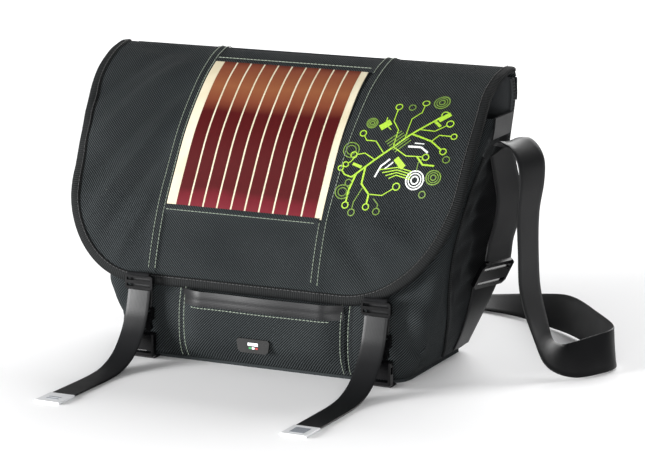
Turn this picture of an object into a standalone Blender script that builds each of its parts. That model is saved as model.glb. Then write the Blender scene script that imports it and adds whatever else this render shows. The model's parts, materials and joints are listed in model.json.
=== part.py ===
"""Solar messenger bag: a wedge-shaped fabric body under a full-width flap that carries a flexible solar panel.

Metres, +Z up. The origin is the centre of the base, -Y is the front, +X is the right-hand end seen from the front.
"""

import math

import bmesh
import bpy
import numpy as np
from mathutils import Matrix, Vector

# ---- driving dimensions -------------------------------------------------------------------------------------
GAP = 0.0004
WALL = 0.0025
BASE_THICK = 0.003
BACK_Y = 0.080
BACK_TOP_Z = 0.2825
FRONT_TOP_Z = 0.250
BACK_CORNER_R = 0.010
HOLLOW_DEEP = 0.012
HEM_Z = (0.2295, 0.2490)
HOLLOW_Z = (0.030, 0.245)

# Half width, front face and side seam of the body at each height: (z, value).
HALF_WIDTH = [(0.0034, 0.146), (0.012, 0.155), (0.030, 0.163), (0.071, 0.177), (0.123, 0.185), (0.18, 0.191),
              (0.226, 0.197), (0.263, 0.2015), (0.2825, 0.200)]
FRONT_Y = [(0.0034, -0.0775), (0.012, -0.084), (0.030, -0.088), (0.060, -0.087), (0.090, -0.0785), (0.120, -0.067),
           (0.150, -0.054), (0.180, -0.037), (0.210, -0.0165), (0.235, 0.0035), (0.250, 0.017)]
SEAM_Y = [(0.0034, 0.005), (0.030, -0.012), (0.060, -0.032), (0.100, -0.049), (0.130, -0.046), (0.157, -0.037),
          (0.180, -0.0235), (0.210, -0.003), (0.235, 0.017), (0.250, 0.031)]
CORNER_R = [(0.0034, 0.026), (0.060, 0.022), (0.120, 0.014), (0.250, 0.012)]
LEVELS = (0.0034, 0.008, 0.018, 0.036, 0.060, 0.090, 0.120, 0.150, 0.180, 0.210, 0.233, FRONT_TOP_Z)

# The flap's outer face in side view, from the back seam over the top to the lower edge: (y, z).
FLAP_PROFILE = [(0.0845, 0.2832), (0.0820, 0.2895), (0.0740, 0.2925), (0.0620, 0.2900), (0.0460, 0.2830),
                (0.0170, 0.2630), (-0.0200, 0.2245), (-0.0470, 0.1830), (-0.0660, 0.1500), (-0.0790, 0.1180),
                (-0.0875, 0.0880), (-0.0915, 0.0600)]
FLAP_END = 0.2935
HINGE_Y, HINGE_Z = 0.0845, 0.2832
# Distances down the flap, closer together where it turns over the top and at the round corners.
FLAP_STEPS = [0.0, 0.006, 0.012, 0.020, 0.030, 0.045, 0.070, 0.100, 0.130, 0.160, 0.190, 0.215, 0.240, 0.260,
              0.275, 0.285, 0.2905, FLAP_END - 0.0002]
FLAP_EDGE_LEFT = [(0.0, -0.236), (0.060, -0.240), (0.110, -0.235), (0.1435, -0.2293), (0.1875, -0.2251)]
FLAP_EDGE_RIGHT = [(0.0, 0.197), (0.055, 0.1885), (0.110, 0.1912), (0.175, 0.1912)]
CORNER_LEFT = (0.085, 0.1875)
CORNER_RIGHT = (0.106, 0.1750)
SEAM_LEFT, SEAM_RIGHT = -0.1205, 0.0548
FABRIC = 0.0016
LINING = 0.0012
BINDING_WIDE, BINDING_THICK = 0.0060, 0.0045

PANEL_X = (-0.1160, 0.0550)
PANEL_S = (0.0465, 0.2190)
LAMINATE = 0.0008
CELL_COUNT = 10
CELL_FIELD_X = (-0.1065, 0.0485)
CELL_LINE = 0.0018
CELL_THICK = 0.0006

WEBBING = 0.0254
WIDE_WEBBING = 0.038
WEB_THICK = 0.0014
STRAP_THICK = 0.0017
CLOSURES = {"left": -0.1300, "right": 0.1290}
LOCK_HIGH, LOCK_WIDE, LOCK_THICK = 0.0140, 0.0310, 0.0036
LOCK_Y, LOCK_TOP = -0.0985, 0.0866
LOCK_BAR = 0.0022
LOCK_AXIS_Z = LOCK_TOP - LOCK_BAR / 2
TAIL_AXIS_Z = LOCK_TOP - LOCK_HIGH - 0.0013
LOWER_STRAP_Y = -0.0941
BUCKLE_Y = -0.0965
RECEIVER_Z = (0.0035, 0.0285)
RECEIVER_WIDE, RECEIVER_THICK = 0.0312, 0.0090
RECEIVER_AXIS_Z = 0.0057
ARM_LONG, CLIP_TRAVEL = 0.0125, 0.0125
CLIP_BODY_HIGH, CLIP_THICK = 0.0120, 0.0046

POCKET_X = (-0.0860, 0.0920)
POCKET_Z = (0.0100, 0.0680)
POCKET_BULGE = 0.0105
DIVIDER_Y, DIVIDER_THICK = 0.0580, 0.0060
PIPING_R = 0.0015
LEAD_R = 0.0017

ADJUSTER_TURN = math.radians(19.0)
ADJUSTER_TILT = math.radians(30.0)
ADJUSTER_PIVOT = (0.1830, 0.0480, 0.0770)
ADJUSTER_WIDE, ADJUSTER_HIGH, ADJUSTER_THICK = 0.0470, 0.0310, 0.0045

# The shoulder strap's centre line and the direction across it, from the left hem round the back to the right hem.
SHOULDER_STRAP = [
    ((-0.2040, 0.038, 0.2270), (0, 1, 0)), ((-0.2110, 0.040, 0.195), (0, 1, 0)),
    ((-0.2150, 0.052, 0.145), (0, 1, 0)), ((-0.2130, 0.078, 0.095), (-0.10, 1, 0.2)),
    ((-0.1960, 0.118, 0.046), (-0.40, 0.85, 0.35)), ((-0.1680, 0.165, 0.0165), (-0.55, 0.80, 0.20)),
    ((-0.1180, 0.212, 0.0052), (-0.45, 0.89, 0.05)), ((-0.0500, 0.240, 0.0026), (-0.20, 0.98, 0)),
    ((0.0300, 0.253, 0.0026), (0, 1, 0.02)), ((0.1000, 0.252, 0.0066), (0.05, 0.98, 0.22)),
    ((0.1600, 0.232, 0.0130), (0.30, 0.80, 0.56)), ((0.2180, 0.188, 0.0194), (0.20, 0.26, 0.94)),
    ((0.2680, 0.134, 0.0203), (0.05, 0.05, 1)), ((0.2990, 0.095, 0.0203), (0.0, 0.0, 1)),
    ((0.3085, 0.070, 0.0203), (-0.2, 0.1, 0.97)), ((0.2990, 0.046, 0.0184), (-0.40, 0.26, 0.86)),
    ((0.2800, 0.023, 0.0166), (-0.50, 0.47, 0.72)), ((0.2610, 0.018, 0.0270), (-0.28, 0.80, 0.50)),
    ((0.2490, 0.020, 0.0520), (0.06, 0.98, 0.12)), ((0.2400, 0.020, 0.0850), (0.17, 0.98, 0)),
    ((0.2375, 0.020, 0.1250), (0.17, 0.98, 0)), ((0.2370, 0.020, 0.1600), (0.22, 0.97, 0)),
    ((0.2400, 0.0205, 0.1900), (0.30, 0.95, 0)), ((0.2385, 0.0205, 0.2120), (0.36, 0.93, 0)),
    ((0.2290, 0.0200, 0.2262), (0.38, 0.92, 0)), ((0.2160, 0.0190, 0.2292), (0.38, 0.92, 0)),
    ((0.2070, 0.0180, 0.2245), (0.36, 0.93, 0)),
]
ADJUSTER_STRAP = [
    ((0.2036, 0.0300, 0.2190), (0.22, 0.97, 0)), ((0.2060, 0.0360, 0.1950), (0.26, 0.96, 0)),
    ((0.2080, 0.0420, 0.1700), (0.30, 0.95, 0)), ((0.2040, 0.0460, 0.1450), (0.33, 0.94, 0)),
    ((0.1975, 0.0480, 0.1240), (0.33, 0.94, 0)), ((0.1945, 0.0485, 0.1100), (0.33, 0.94, 0)),
]


# ---- helpers ------------------------------------------------------------------------------------------------
def material(name, colour, roughness, metallic=0.0):
    made = bpy.data.materials.new(name)
    made.use_nodes = True
    shader = made.node_tree.nodes["Principled BSDF"]
    shader.inputs["Base Color"].default_value = (*colour, 1.0)
    shader.inputs["Roughness"].default_value = roughness
    shader.inputs["Metallic"].default_value = metallic
    made.diffuse_color = (*colour, 1.0)
    return made


def place(name, bm, finish, smooth=True, origin=(0, 0, 0)):
    """Makes a named object from a bmesh in world coordinates, with its origin at the given point."""
    bmesh.ops.translate(bm, verts=bm.verts, vec=-Vector(origin))
    mesh = bpy.data.meshes.new(name)
    bm.to_mesh(mesh)
    bm.free()
    if smooth:
        mesh.shade_smooth()
        mesh.set_sharp_from_angle(angle=math.radians(40))
    mesh.materials.append(finish)
    obj = bpy.data.objects.new(name, mesh)
    obj.location = origin
    bpy.context.collection.objects.link(obj)
    return obj


def at_height(table, z):
    """The value at a height, read straight between the table's rows."""
    return float(np.interp(z, [row[0] for row in table], [row[1] for row in table]))


def smooth_through(points, steps):
    """A Catmull-Rom curve through the points, with the given steps in each stretch."""
    rows = [np.array(p, float) for p in points]
    rows = [2 * rows[0] - rows[1], *rows, 2 * rows[-1] - rows[-2]]
    curve = []
    for a, b, c, d in zip(rows, rows[1:], rows[2:], rows[3:]):
        for t in np.linspace(0, 1, steps, endpoint=False):
            curve.append(0.5 * (2 * b + (c - a) * t + (2 * a - 5 * b + 4 * c - d) * t**2
                                + (3 * b - a - 3 * c + d) * t**3))
    curve.append(rows[-2])
    return np.array(curve)


PROFILE = smooth_through(FLAP_PROFILE, 16)
PROFILE_S = np.concatenate([[0], np.cumsum(np.linalg.norm(np.diff(PROFILE, axis=0), axis=1))])


def on_flap(x, s, height):
    """The point at x, a distance s down the flap from its back seam, and a height above its outer face."""
    y, z = (np.interp(s, PROFILE_S, PROFILE[:, i]) for i in (0, 1))
    near = [np.array([np.interp(s + d, PROFILE_S, PROFILE[:, i]) for i in (0, 1)]) for d in (-0.004, 0.004)]
    along = (near[1] - near[0]) / np.linalg.norm(near[1] - near[0])
    return Vector((x, y + height * along[1], z - height * along[0]))


def flap_edge(side, s):
    """The x of the flap's left or right edge at s: straight at first, then a quarter ellipse at the corner."""
    table, (wide, start) = (FLAP_EDGE_LEFT, CORNER_LEFT) if side < 0 else (FLAP_EDGE_RIGHT, CORNER_RIGHT)
    if s <= start:
        return at_height(table, s)
    sink = 1 - math.sqrt(max(0.0, 1 - ((s - start) / (FLAP_END - start)) ** 2))
    return table[-1][1] - side * wide * sink


def grid_shell(name, rows, thickness, finish, outward):
    """A sheet through a grid of points, thickened inwards from its outer face."""
    bm = bmesh.new()
    verts = [[bm.verts.new(p) for p in row] for row in rows]
    for upper, lower in zip(verts, verts[1:]):
        for i in range(len(upper) - 1):
            bm.faces.new((upper[i], upper[i + 1], lower[i + 1], lower[i]))
    bm.normal_update()
    if sum((f.normal * f.calc_area() for f in bm.faces), Vector()).dot(Vector(outward)) < 0:
        bmesh.ops.reverse_faces(bm, faces=bm.faces)
    obj = place(name, bm, finish)
    thicken = obj.modifiers.new("thickness", "SOLIDIFY")
    thicken.thickness = thickness
    thicken.offset = -1
    thicken.use_even_offset = True
    return obj


def loft(name, rings, finish, smooth=True, origin=(0, 0, 0), crossed=()):
    """A closed solid through rings of points, capped at both ends. Crossed sides take the other diagonal."""
    bm = bmesh.new()
    loops = [[bm.verts.new(p) for p in ring] for ring in rings]
    count = len(loops[0])
    for first, second in zip(loops, loops[1:]):
        for i in range(count):
            k = (i + 1) % count
            corners = [first[i], first[k], second[k], second[i]]
            if i in crossed:
                corners = corners[1:] + corners[:1]
            bm.faces.new(corners[:3])
            bm.faces.new((corners[0], corners[2], corners[3]))
    bm.faces.new(loops[0][::-1])
    bm.faces.new(loops[-1])
    bmesh.ops.recalc_face_normals(bm, faces=bm.faces)
    return place(name, bm, finish, smooth, origin)


def band(name, stations, width, thickness, finish, origin=(0, 0, 0), steps=3):
    """Flat webbing along a smooth curve: each station is its centre and the direction across it.

    Its two faces are split along matching diagonals, so that they stay apart where the webbing twists.
    """
    centres = smooth_through([s[0] for s in stations], steps)
    across = smooth_through([s[1] for s in stations], steps)
    rings = []
    for i, (centre, side) in enumerate(zip(centres, across)):
        ahead = Vector(centres[min(i + 1, len(centres) - 1)] - centres[max(i - 1, 0)]).normalized()
        side = Vector(side)
        side = (side - side.dot(ahead) * ahead).normalized() * width / 2
        up = ahead.cross(side).normalized() * thickness / 2
        centre = Vector(centre)
        rings.append([centre + side + up, centre - side + up, centre - side - up, centre + side - up])
    return loft(name, rings, finish, origin=origin, crossed=(2,))


def prism(name, outline, holes, thickness, finish, matrix, origin=(0, 0, 0)):
    """A flat plate with holes: outlines in its own x and y, centred on its thickness, then placed."""
    bm = bmesh.new()
    for loop in (outline, *holes):
        verts = [bm.verts.new((x, y, -thickness / 2)) for x, y in loop]
        for a, b in zip(verts, verts[1:] + verts[:1]):
            bm.edges.new((a, b))
    bmesh.ops.triangle_fill(bm, edges=bm.edges[:], use_beauty=True)
    made = bmesh.ops.extrude_face_region(bm, geom=bm.faces[:])
    lifted = [v for v in made["geom"] if isinstance(v, bmesh.types.BMVert)]
    bmesh.ops.translate(bm, vec=(0, 0, thickness), verts=lifted)
    bmesh.ops.recalc_face_normals(bm, faces=bm.faces)
    bmesh.ops.transform(bm, matrix=matrix, verts=bm.verts)
    return place(name, bm, finish, smooth=False, origin=origin)


def rectangle(x0, x1, y0, y1, chamfer=0.0):
    c = chamfer
    if not c:
        return [(x0, y0), (x1, y0), (x1, y1), (x0, y1)]
    return [(x0 + c, y0), (x1 - c, y0), (x1, y0 + c), (x1, y1 - c), (x1 - c, y1), (x0 + c, y1), (x0, y1 - c),
            (x0, y0 + c)]


def block(name, low, high, finish, origin=(0, 0, 0), bevel=0.0):
    """A box between two corners, with its edges bevelled."""
    bm = bmesh.new()
    bmesh.ops.create_cube(bm, size=1)
    size = Vector(high) - Vector(low)
    bmesh.ops.scale(bm, vec=size, verts=bm.verts)
    bmesh.ops.translate(bm, vec=Vector(low) + size / 2, verts=bm.verts)
    if bevel:
        bmesh.ops.bevel(bm, geom=bm.edges[:], offset=bevel, segments=1, affect="EDGES")
    return place(name, bm, finish, smooth=False, origin=origin)


def cut(obj, low, high):
    """Takes a box out of an object."""
    cutter = block(obj.name + "_cutter", low, high, obj.data.materials[0])
    cutter.hide_render = True
    cutter.display_type = "WIRE"
    boolean = obj.modifiers.new("cut", "BOOLEAN")
    boolean.object = cutter
    boolean.solver = "EXACT"


def tube(name, points, radius, finish, resolution=2):
    """A round cord along a smooth curve through the points."""
    curve = bpy.data.curves.new(name, "CURVE")
    curve.dimensions = "3D"
    curve.bevel_depth = radius
    curve.bevel_resolution = resolution
    curve.use_fill_caps = True
    spline = curve.splines.new("POLY")
    route = smooth_through(points, 3)
    spline.points.add(len(route) - 1)
    for point, place_at in zip(spline.points, route):
        point.co = (*place_at, 1)
    curve.materials.append(finish)
    obj = bpy.data.objects.new(name, curve)
    bpy.context.collection.objects.link(obj)
    return obj


def standing(x, y, z):
    """Places a plate drawn in x and z, facing the front."""
    return Matrix.Translation((x, y, z)) @ Matrix.Rotation(math.pi / 2, 4, "X")


# ---- the body -----------------------------------------------------------------------------------------------
def front_path(z):
    """The front wall at one height, from its right side seam round both corners to its left one."""
    wide, front, seam, r = (at_height(t, z) for t in (HALF_WIDTH, FRONT_Y, SEAM_Y, CORNER_R))
    half = [(wide, seam)]
    for angle in np.radians([0, 22.5, 45, 67.5, 90]):
        half.append((wide - r + r * math.cos(angle), front + r - r * math.sin(angle)))
    half.append((wide * 0.4, front))
    return [Vector((x, y, z)) for x, y in half] + [Vector((-x, y, z)) for x, y in half[::-1]]


def back_path(z):
    """The back wall at one height, with its two rounded corners."""
    wide, r = at_height(HALF_WIDTH, z), BACK_CORNER_R
    back = BACK_Y - (0.004 if z < 0.005 else 0)
    half = [(wide, back - r - 0.004)]
    for angle in np.radians([0, 45, 90]):
        half.append((wide - r + r * math.cos(angle), back - r + r * math.sin(angle)))
    return [Vector((x, y, z)) for x, y in half] + [Vector((-x, y, z)) for x, y in half[::-1]]


def gusset_path(side, z):
    """The end wall at one height, drawn in a little where the strap hangs over it."""
    wide = at_height(HALF_WIDTH, z)
    front = at_height(SEAM_Y, z) + 4 * GAP
    back = BACK_Y - (0.004 if z < 0.005 else 0) - BACK_CORNER_R - 0.004 - 2 * GAP
    deep = HOLLOW_DEEP * math.sin(math.pi * min(1.0, max(0.0, (z - HOLLOW_Z[0]) / (HOLLOW_Z[1] - HOLLOW_Z[0]))))
    path = []
    for t in (0, 0.1, 0.2, 0.3, 0.5, 0.7, 0.8, 0.9, 1):
        rise = min(1.0, 3.5 * min(t, 1 - t))
        path.append(Vector((side * (wide - deep * rise * rise * (3 - 2 * rise)), front + (back - front) * t, z)))
    return path


def make_body(fabric, side_fabric, tape, foam, board):
    grid_shell("front_panel", [front_path(z) for z in LEVELS], WALL, fabric, (0, -1, 0))
    back_levels = (*LEVELS[:4], 0.090, 0.160, 0.225, BACK_TOP_Z)
    grid_shell("back_panel", [back_path(z) for z in back_levels], WALL, fabric, (0, 1, 0))
    for side, word in ((-1, "left"), (1, "right")):
        grid_shell(f"side_gusset_{word}", [gusset_path(side, z) for z in LEVELS], WALL, side_fabric, (side, 0, 0))
        hem = [[Vector((side * (at_height(HALF_WIDTH, z) + GAP + 0.0016), y, z)) for y in (0.020, 0.066)]
               for z in HEM_Z]
        grid_shell(f"gusset_hem_{word}", hem, 0.0016, tape, (side, 0, 0))
        seam = [(side * (at_height(HALF_WIDTH, z) + PIPING_R + GAP), at_height(SEAM_Y, z), z)
                for z in (0.012, 0.036, 0.060, 0.090, 0.120, 0.150, 0.180, 0.215)]
        tube(f"front_piping_{word}", seam, PIPING_R, tape)
        rise = [((side * (at_height(HALF_WIDTH, z) + away), 0.046, z), (side * turn, 1, 0))
                for z, away, turn in ((0.0120, 0.0016, 0.0), (0.0300, 0.0018, 0.03), (0.0530, 0.0022, 0.14),
                                      (0.0735, 0.0030, 0.33))]
        band(f"gusset_webbing_{word}", rise, WIDE_WEBBING, WEB_THICK, tape, steps=2)
    base = [(p.x, p.y) for p in front_path(LEVELS[0]) + back_path(LEVELS[0])[::-1]]
    base_plate = Matrix.Translation((0, 0, BASE_THICK / 2))
    prism("bottom_panel", base, (), BASE_THICK, fabric, base_plate)
    block("bottom_board", (-0.136, -0.066, 0.0034), (0.136, 0.070, 0.0058), board, bevel=0.0006)
    block("laptop_divider", (-0.142, DIVIDER_Y - DIVIDER_THICK / 2, 0.0062),
          (0.142, DIVIDER_Y + DIVIDER_THICK / 2, 0.2250), foam, bevel=0.0015)


def pocket_face(x, z):
    """The front pocket's outer face: it bulges from the front wall, and closes to it at its sides and bottom."""
    across = (x - POCKET_X[0]) / (POCKET_X[1] - POCKET_X[0])
    up = (z - POCKET_Z[0]) / (POCKET_Z[1] - POCKET_Z[0])
    side_rise = min(1.0, 7.0 * min(across, 1 - across))
    rise = math.sin(side_rise * math.pi / 2) * math.sin(min(1.0, 2.2 * up) * math.pi / 2)
    return Vector((x, at_height(FRONT_Y, z) - 0.0030 - POCKET_BULGE * rise, z))


def make_pocket(fabric, tape, rubber):
    xs = [POCKET_X[0] + (POCKET_X[1] - POCKET_X[0]) * t for t in
          (0, 0.05, 0.10, 0.143, 0.30, 0.50, 0.70, 0.857, 0.90, 0.95, 1)]
    zs = [POCKET_Z[0] + (POCKET_Z[1] - POCKET_Z[0]) * t for t in (0, 0.11, 0.23, 0.34, 0.455, 0.7, 1)]
    grid_shell("front_pocket", [[pocket_face(x, z) for x in xs] for z in zs], 0.0020, fabric, (0, -1, 0))
    lip = POCKET_Z[1]
    tape_rows = [[pocket_face(x, lip) + Vector((0, 0, d)) for x in xs[1:-1]] for d in (GAP, 0.0085)]
    grid_shell("pocket_mouth_tape", tape_rows, 0.0014, tape, (0, -1, 0))
    badge = [(-0.0165, -0.0045), (-0.0135, -0.0070), (0.0135, -0.0070), (0.0165, -0.0045), (0.0180, 0.0050),
             (0.0160, 0.0070), (-0.0160, 0.0070), (-0.0180, 0.0050)]
    badge_y = at_height(FRONT_Y, 0.030) - POCKET_BULGE - 0.0043
    prism("badge", badge, (), 0.0022, rubber, standing(-0.001, badge_y, 0.0290))


# ---- the electrics inside -----------------------------------------------------------------------------------
def make_electrics(mesh_fabric, plastic, steel, rubber):
    front = DIVIDER_Y - DIVIDER_THICK / 2 - GAP
    pocket = block("battery_pocket", (-0.0750, front - 0.0240, 0.0260), (0.0750, front, 0.1100), mesh_fabric)
    cut(pocket, (-0.0732, front - 0.0222, 0.0278), (0.0732, front - 0.0018, 0.1200))
    inner = front - 0.0120
    block("battery_pack", (-0.0700, inner - 0.0085, 0.0290), (0.0050, inner + 0.0085, 0.1290), plastic,
          bevel=0.0020)
    block("charge_controller", (0.0090, inner - 0.0070, 0.0290), (0.0690, inner + 0.0070, 0.0890), plastic,
          bevel=0.0015)
    block("usb_socket", (0.0150, inner - 0.0035, 0.0894), (0.0290, inner + 0.0035, 0.1020), steel, bevel=0.0005)
    wall = BACK_Y - WALL - LEAD_R - GAP
    tube("panel_lead_bag", [(0.055, inner, 0.0896), (0.055, inner + 0.002, 0.120), (0.050, inner + 0.004, 0.180),
                            (0.045, 0.049, 0.216), (0.039, 0.053, 0.236), (0.033, 0.066, 0.250),
                            (0.030, wall, 0.2740)], LEAD_R, rubber)


# ---- the flap -----------------------------------------------------------------------------------------------
def flap_rows(left, right, height, s_values, columns):
    rows = []
    for s in s_values:
        a = left(s) if callable(left) else left
        b = right(s) if callable(right) else right
        rows.append([on_flap(a + (b - a) * t, s, height) for t in np.linspace(0, 1, columns)])
    return rows


def make_flap(fabric, lining, tape):
    pieces = {
        "flap_left_panel": (lambda s: flap_edge(-1, s), SEAM_LEFT - GAP / 2, 3),
        "flap_centre_panel": (SEAM_LEFT + GAP / 2, SEAM_RIGHT - GAP / 2, 3),
        "flap_right_panel": (SEAM_RIGHT + GAP / 2, lambda s: flap_edge(1, s), 4),
    }
    for name, (left, right, columns) in pieces.items():
        grid_shell(name, flap_rows(left, right, 0.0, FLAP_STEPS, columns), FABRIC, fabric, (0, -1, 1))
    under = -FABRIC - GAP
    grid_shell("flap_lining", flap_rows(lambda s: flap_edge(-1, s), lambda s: flap_edge(1, s), under,
                                        FLAP_STEPS[2:-1] + [FLAP_END - 0.0020], 5), LINING, lining, (0, -1, 1))
    edge = [(flap_edge(-1, s), s) for s in FLAP_STEPS[3:]]
    ends = flap_edge(-1, FLAP_END) + 0.012, flap_edge(1, FLAP_END) - 0.012
    edge += [(x, FLAP_END) for x in np.linspace(*ends, 4)]
    edge += [(flap_edge(1, s), s) for s in FLAP_STEPS[:2:-1]]
    rings = []
    for i, (x, s) in enumerate(edge):
        (x0, s0), (x1, s1) = edge[max(i - 1, 0)], edge[min(i + 1, len(edge) - 1)]
        out = Vector((-(s1 - s0), x1 - x0)).normalized()
        ring = []
        for away, height in ((GAP, 0.0008), (BINDING_WIDE, 0.0), (BINDING_WIDE, -0.0030), (GAP, -0.0038)):
            ring.append(on_flap(x + out.x * away, s + out.y * away, height))
        rings.append(ring)
    loft("flap_binding", rings, tape)


def make_solar_panel(film, cell, plastic, rubber):
    s_values = np.linspace(PANEL_S[0], PANEL_S[1], 11)
    top = GAP + LAMINATE
    grid_shell("solar_laminate", flap_rows(PANEL_X[0], PANEL_X[1], top, s_values, 2), LAMINATE, film, (0, -1, 1))
    pitch = (CELL_FIELD_X[1] - CELL_FIELD_X[0]) / CELL_COUNT
    cell_s = np.linspace(PANEL_S[0] + 0.002, PANEL_S[1] - 0.001, 11)
    for i in range(CELL_COUNT):
        left = CELL_FIELD_X[0] + i * pitch + CELL_LINE / 2
        right = left + pitch - CELL_LINE
        rows = flap_rows(left, right, top + GAP + CELL_THICK, cell_s, 2)
        grid_shell(f"solar_cell_{i + 1:02d}", rows, CELL_THICK, cell, (0, -1, 1))
    under = -FABRIC - LINING - 3 * GAP
    box = ((-0.047, 0.046), (-0.013, 0.046), (-0.013, 0.068), (-0.047, 0.068))
    corners = [[on_flap(x, s, under - d) for x, s in box] for d in (0.0, 0.0050)]
    loft("junction_box", corners, plastic, smooth=False)
    lead = [on_flap(x, s, under - LEAD_R) for x, s in
            ((-0.0120, 0.058), (-0.0020, 0.056), (0.0120, 0.048), (0.0240, 0.036), (0.0300, 0.022))]
    tube("panel_lead_flap", lead, LEAD_R, rubber)


# ---- the two closures ---------------------------------------------------------------------------------------
def make_closure(word, x, tape, plastic, label):
    half = WEBBING / 2
    hinge = (x, LOCK_Y, LOCK_AXIS_Z)
    slot = half + 0.0006
    slots = [rectangle(-slot, slot, -0.0054, -0.0024),
             rectangle(-slot, slot, -LOCK_HIGH + 0.0024, -LOCK_HIGH + 0.0054)]
    frame = rectangle(-LOCK_WIDE / 2, LOCK_WIDE / 2, -LOCK_HIGH, 0, 0.0018)
    prism(f"ladder_lock_{word}", frame, slots, LOCK_THICK, plastic, standing(x, LOCK_Y, LOCK_TOP), hinge)

    band(f"lock_tab_{word}", [((x, LOCK_Y + 0.0034, LOCK_AXIS_Z + 0.0012), (1, 0, 0)),
                              ((x, LOCK_Y + 0.0018, LOCK_AXIS_Z + 0.0034), (1, 0, 0)),
                              ((x, LOCK_Y - 0.0012, LOCK_AXIS_Z + 0.0038), (1, 0, 0)),
                              ((x, LOCK_Y - 0.0034, LOCK_AXIS_Z + 0.0012), (1, 0, 0))],
         WEBBING, 0.0010, tape, origin=hinge, steps=2)

    tail = [((x, LOCK_Y, TAIL_AXIS_Z), (1, 0, 0)), ((x, LOCK_Y - 0.0035, 0.058), (1, 0, 0)),
            ((x, LOCK_Y - 0.0085, 0.044), (1, 0, 0)), ((x, LOCK_Y - 0.0185, 0.028), (1, 0, 0)),
            ((x, LOCK_Y - 0.0345, 0.0130), (1, 0, 0)), ((x, LOCK_Y - 0.0560, 0.0042), (1, 0, 0)),
            ((x, LOCK_Y - 0.0800, 0.0014), (1, 0, 0)), ((x, -0.2150, 0.0012), (1, 0, 0)),
            ((x, -0.2500, 0.0014), (1, 0, 0))]
    band(f"strap_tail_{word}", tail, WEBBING, WEB_THICK, tape, origin=tail[0][0])
    end = -0.2500 - GAP
    block(f"strap_tip_{word}", (x - half - 0.0008, end - 0.0300, 0.0004), (x + half + 0.0008, end, 0.0026), label,
          origin=tail[0][0], bevel=0.0004)


def make_buckle(word, x, tape, plastic):
    half = WEBBING / 2
    clip_low = RECEIVER_Z[1] + 0.0010 + ARM_LONG
    clip_top = clip_low + CLIP_BODY_HIGH
    arm_in, arm_out, hook = 0.0070, 0.0118, 0.0126
    tip = -ARM_LONG
    side = [(0.0145, CLIP_BODY_HIGH - 0.0010), (0.0145, 0.0), (arm_out, 0.0), (arm_out, tip * 0.45), (hook, tip * 0.62),
            (hook, tip * 0.75), (arm_in + 0.0025, tip), (arm_in, tip), (arm_in, -0.0005)]
    outline = [(0.0135, CLIP_BODY_HIGH)] + side + [(-a, b) for a, b in side[::-1]] + [(-0.0135, CLIP_BODY_HIGH)]
    slot = [rectangle(-half + 0.0006, half - 0.0006, CLIP_BODY_HIGH - 0.0060, CLIP_BODY_HIGH - 0.0026)]
    pivot = (x, BUCKLE_Y, clip_low)
    prism(f"buckle_male_{word}", outline, slot, CLIP_THICK, plastic, standing(x, BUCKLE_Y, clip_low), pivot)

    lower = [((x, LOWER_STRAP_Y, LOCK_AXIS_Z - 0.0016), (1, 0, 0)), ((x, LOWER_STRAP_Y, 0.070), (1, 0, 0)),
             ((x, LOWER_STRAP_Y - 0.0006, clip_top + 0.0060), (1, 0, 0)),
             ((x, BUCKLE_Y, clip_top + GAP), (1, 0, 0))]
    band(f"lower_strap_{word}", lower, WEBBING - 0.0010, 0.0010, tape, origin=pivot, steps=3)

    wide, thick = RECEIVER_WIDE / 2, RECEIVER_THICK / 2
    low, high = RECEIVER_Z
    hinge = (x, BUCKLE_Y, RECEIVER_AXIS_Z)
    female = block(f"buckle_female_{word}", (x - wide, BUCKLE_Y - thick, low), (x + wide, BUCKLE_Y + thick, high),
                   plastic, origin=hinge, bevel=0.0014)
    cut(female, (x - 0.0133, BUCKLE_Y - 0.0029, low + 0.0100), (x + 0.0133, BUCKLE_Y + 0.0029, high + 0.01))
    for way in (-1, 1):
        sides = sorted((x + way * 0.0130, x + way * 0.0200))
        cut(female, (sides[0], BUCKLE_Y - 0.0024, low + 0.0120), (sides[1], BUCKLE_Y + 0.0024, high - 0.0060))
    cut(female, (x - half - 0.0006, BUCKLE_Y - 0.0100, low + 0.0044),
        (x + half + 0.0006, BUCKLE_Y + 0.0100, low + 0.0074))

    back = at_height(FRONT_Y, 0.0034)
    tab = [((x, back - GAP, 0.0012), (1, 0, 0)), ((x, back - 0.0040, 0.0012), (1, 0, 0)),
           ((x, back - 0.0100, 0.0012), (1, 0, 0)), ((x, BUCKLE_Y + thick + 0.0008, 0.0013), (1, 0, 0))]
    band(f"buckle_tab_{word}", tab, WEBBING, 0.0012, tape, steps=2)


# ---- the shoulder strap -------------------------------------------------------------------------------------
def make_shoulder_strap(tape, plastic):
    band("shoulder_strap", SHOULDER_STRAP, WIDE_WEBBING, STRAP_THICK, tape, steps=4)
    band("adjuster_strap", ADJUSTER_STRAP, WIDE_WEBBING, STRAP_THICK, tape, steps=2)
    slot = WIDE_WEBBING / 2 + 0.0008
    high, bar = ADJUSTER_HIGH, 0.0045
    slots = [rectangle(-slot, slot, bar, bar + 0.0038), rectangle(-slot, slot, high - bar - 0.0038, high - bar)]
    turned = (Matrix.Translation(ADJUSTER_PIVOT) @ Matrix.Rotation(-ADJUSTER_TURN, 4, "Z")
              @ Matrix.Rotation(ADJUSTER_TILT, 4, "Y") @ Matrix.Rotation(math.pi / 2, 4, "Z")
              @ Matrix.Rotation(math.pi / 2, 4, "X"))
    prism("adjuster_buckle", rectangle(-ADJUSTER_WIDE / 2, ADJUSTER_WIDE / 2, 0, high, 0.004), slots,
          ADJUSTER_THICK, plastic, turned, ADJUSTER_PIVOT)


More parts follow.
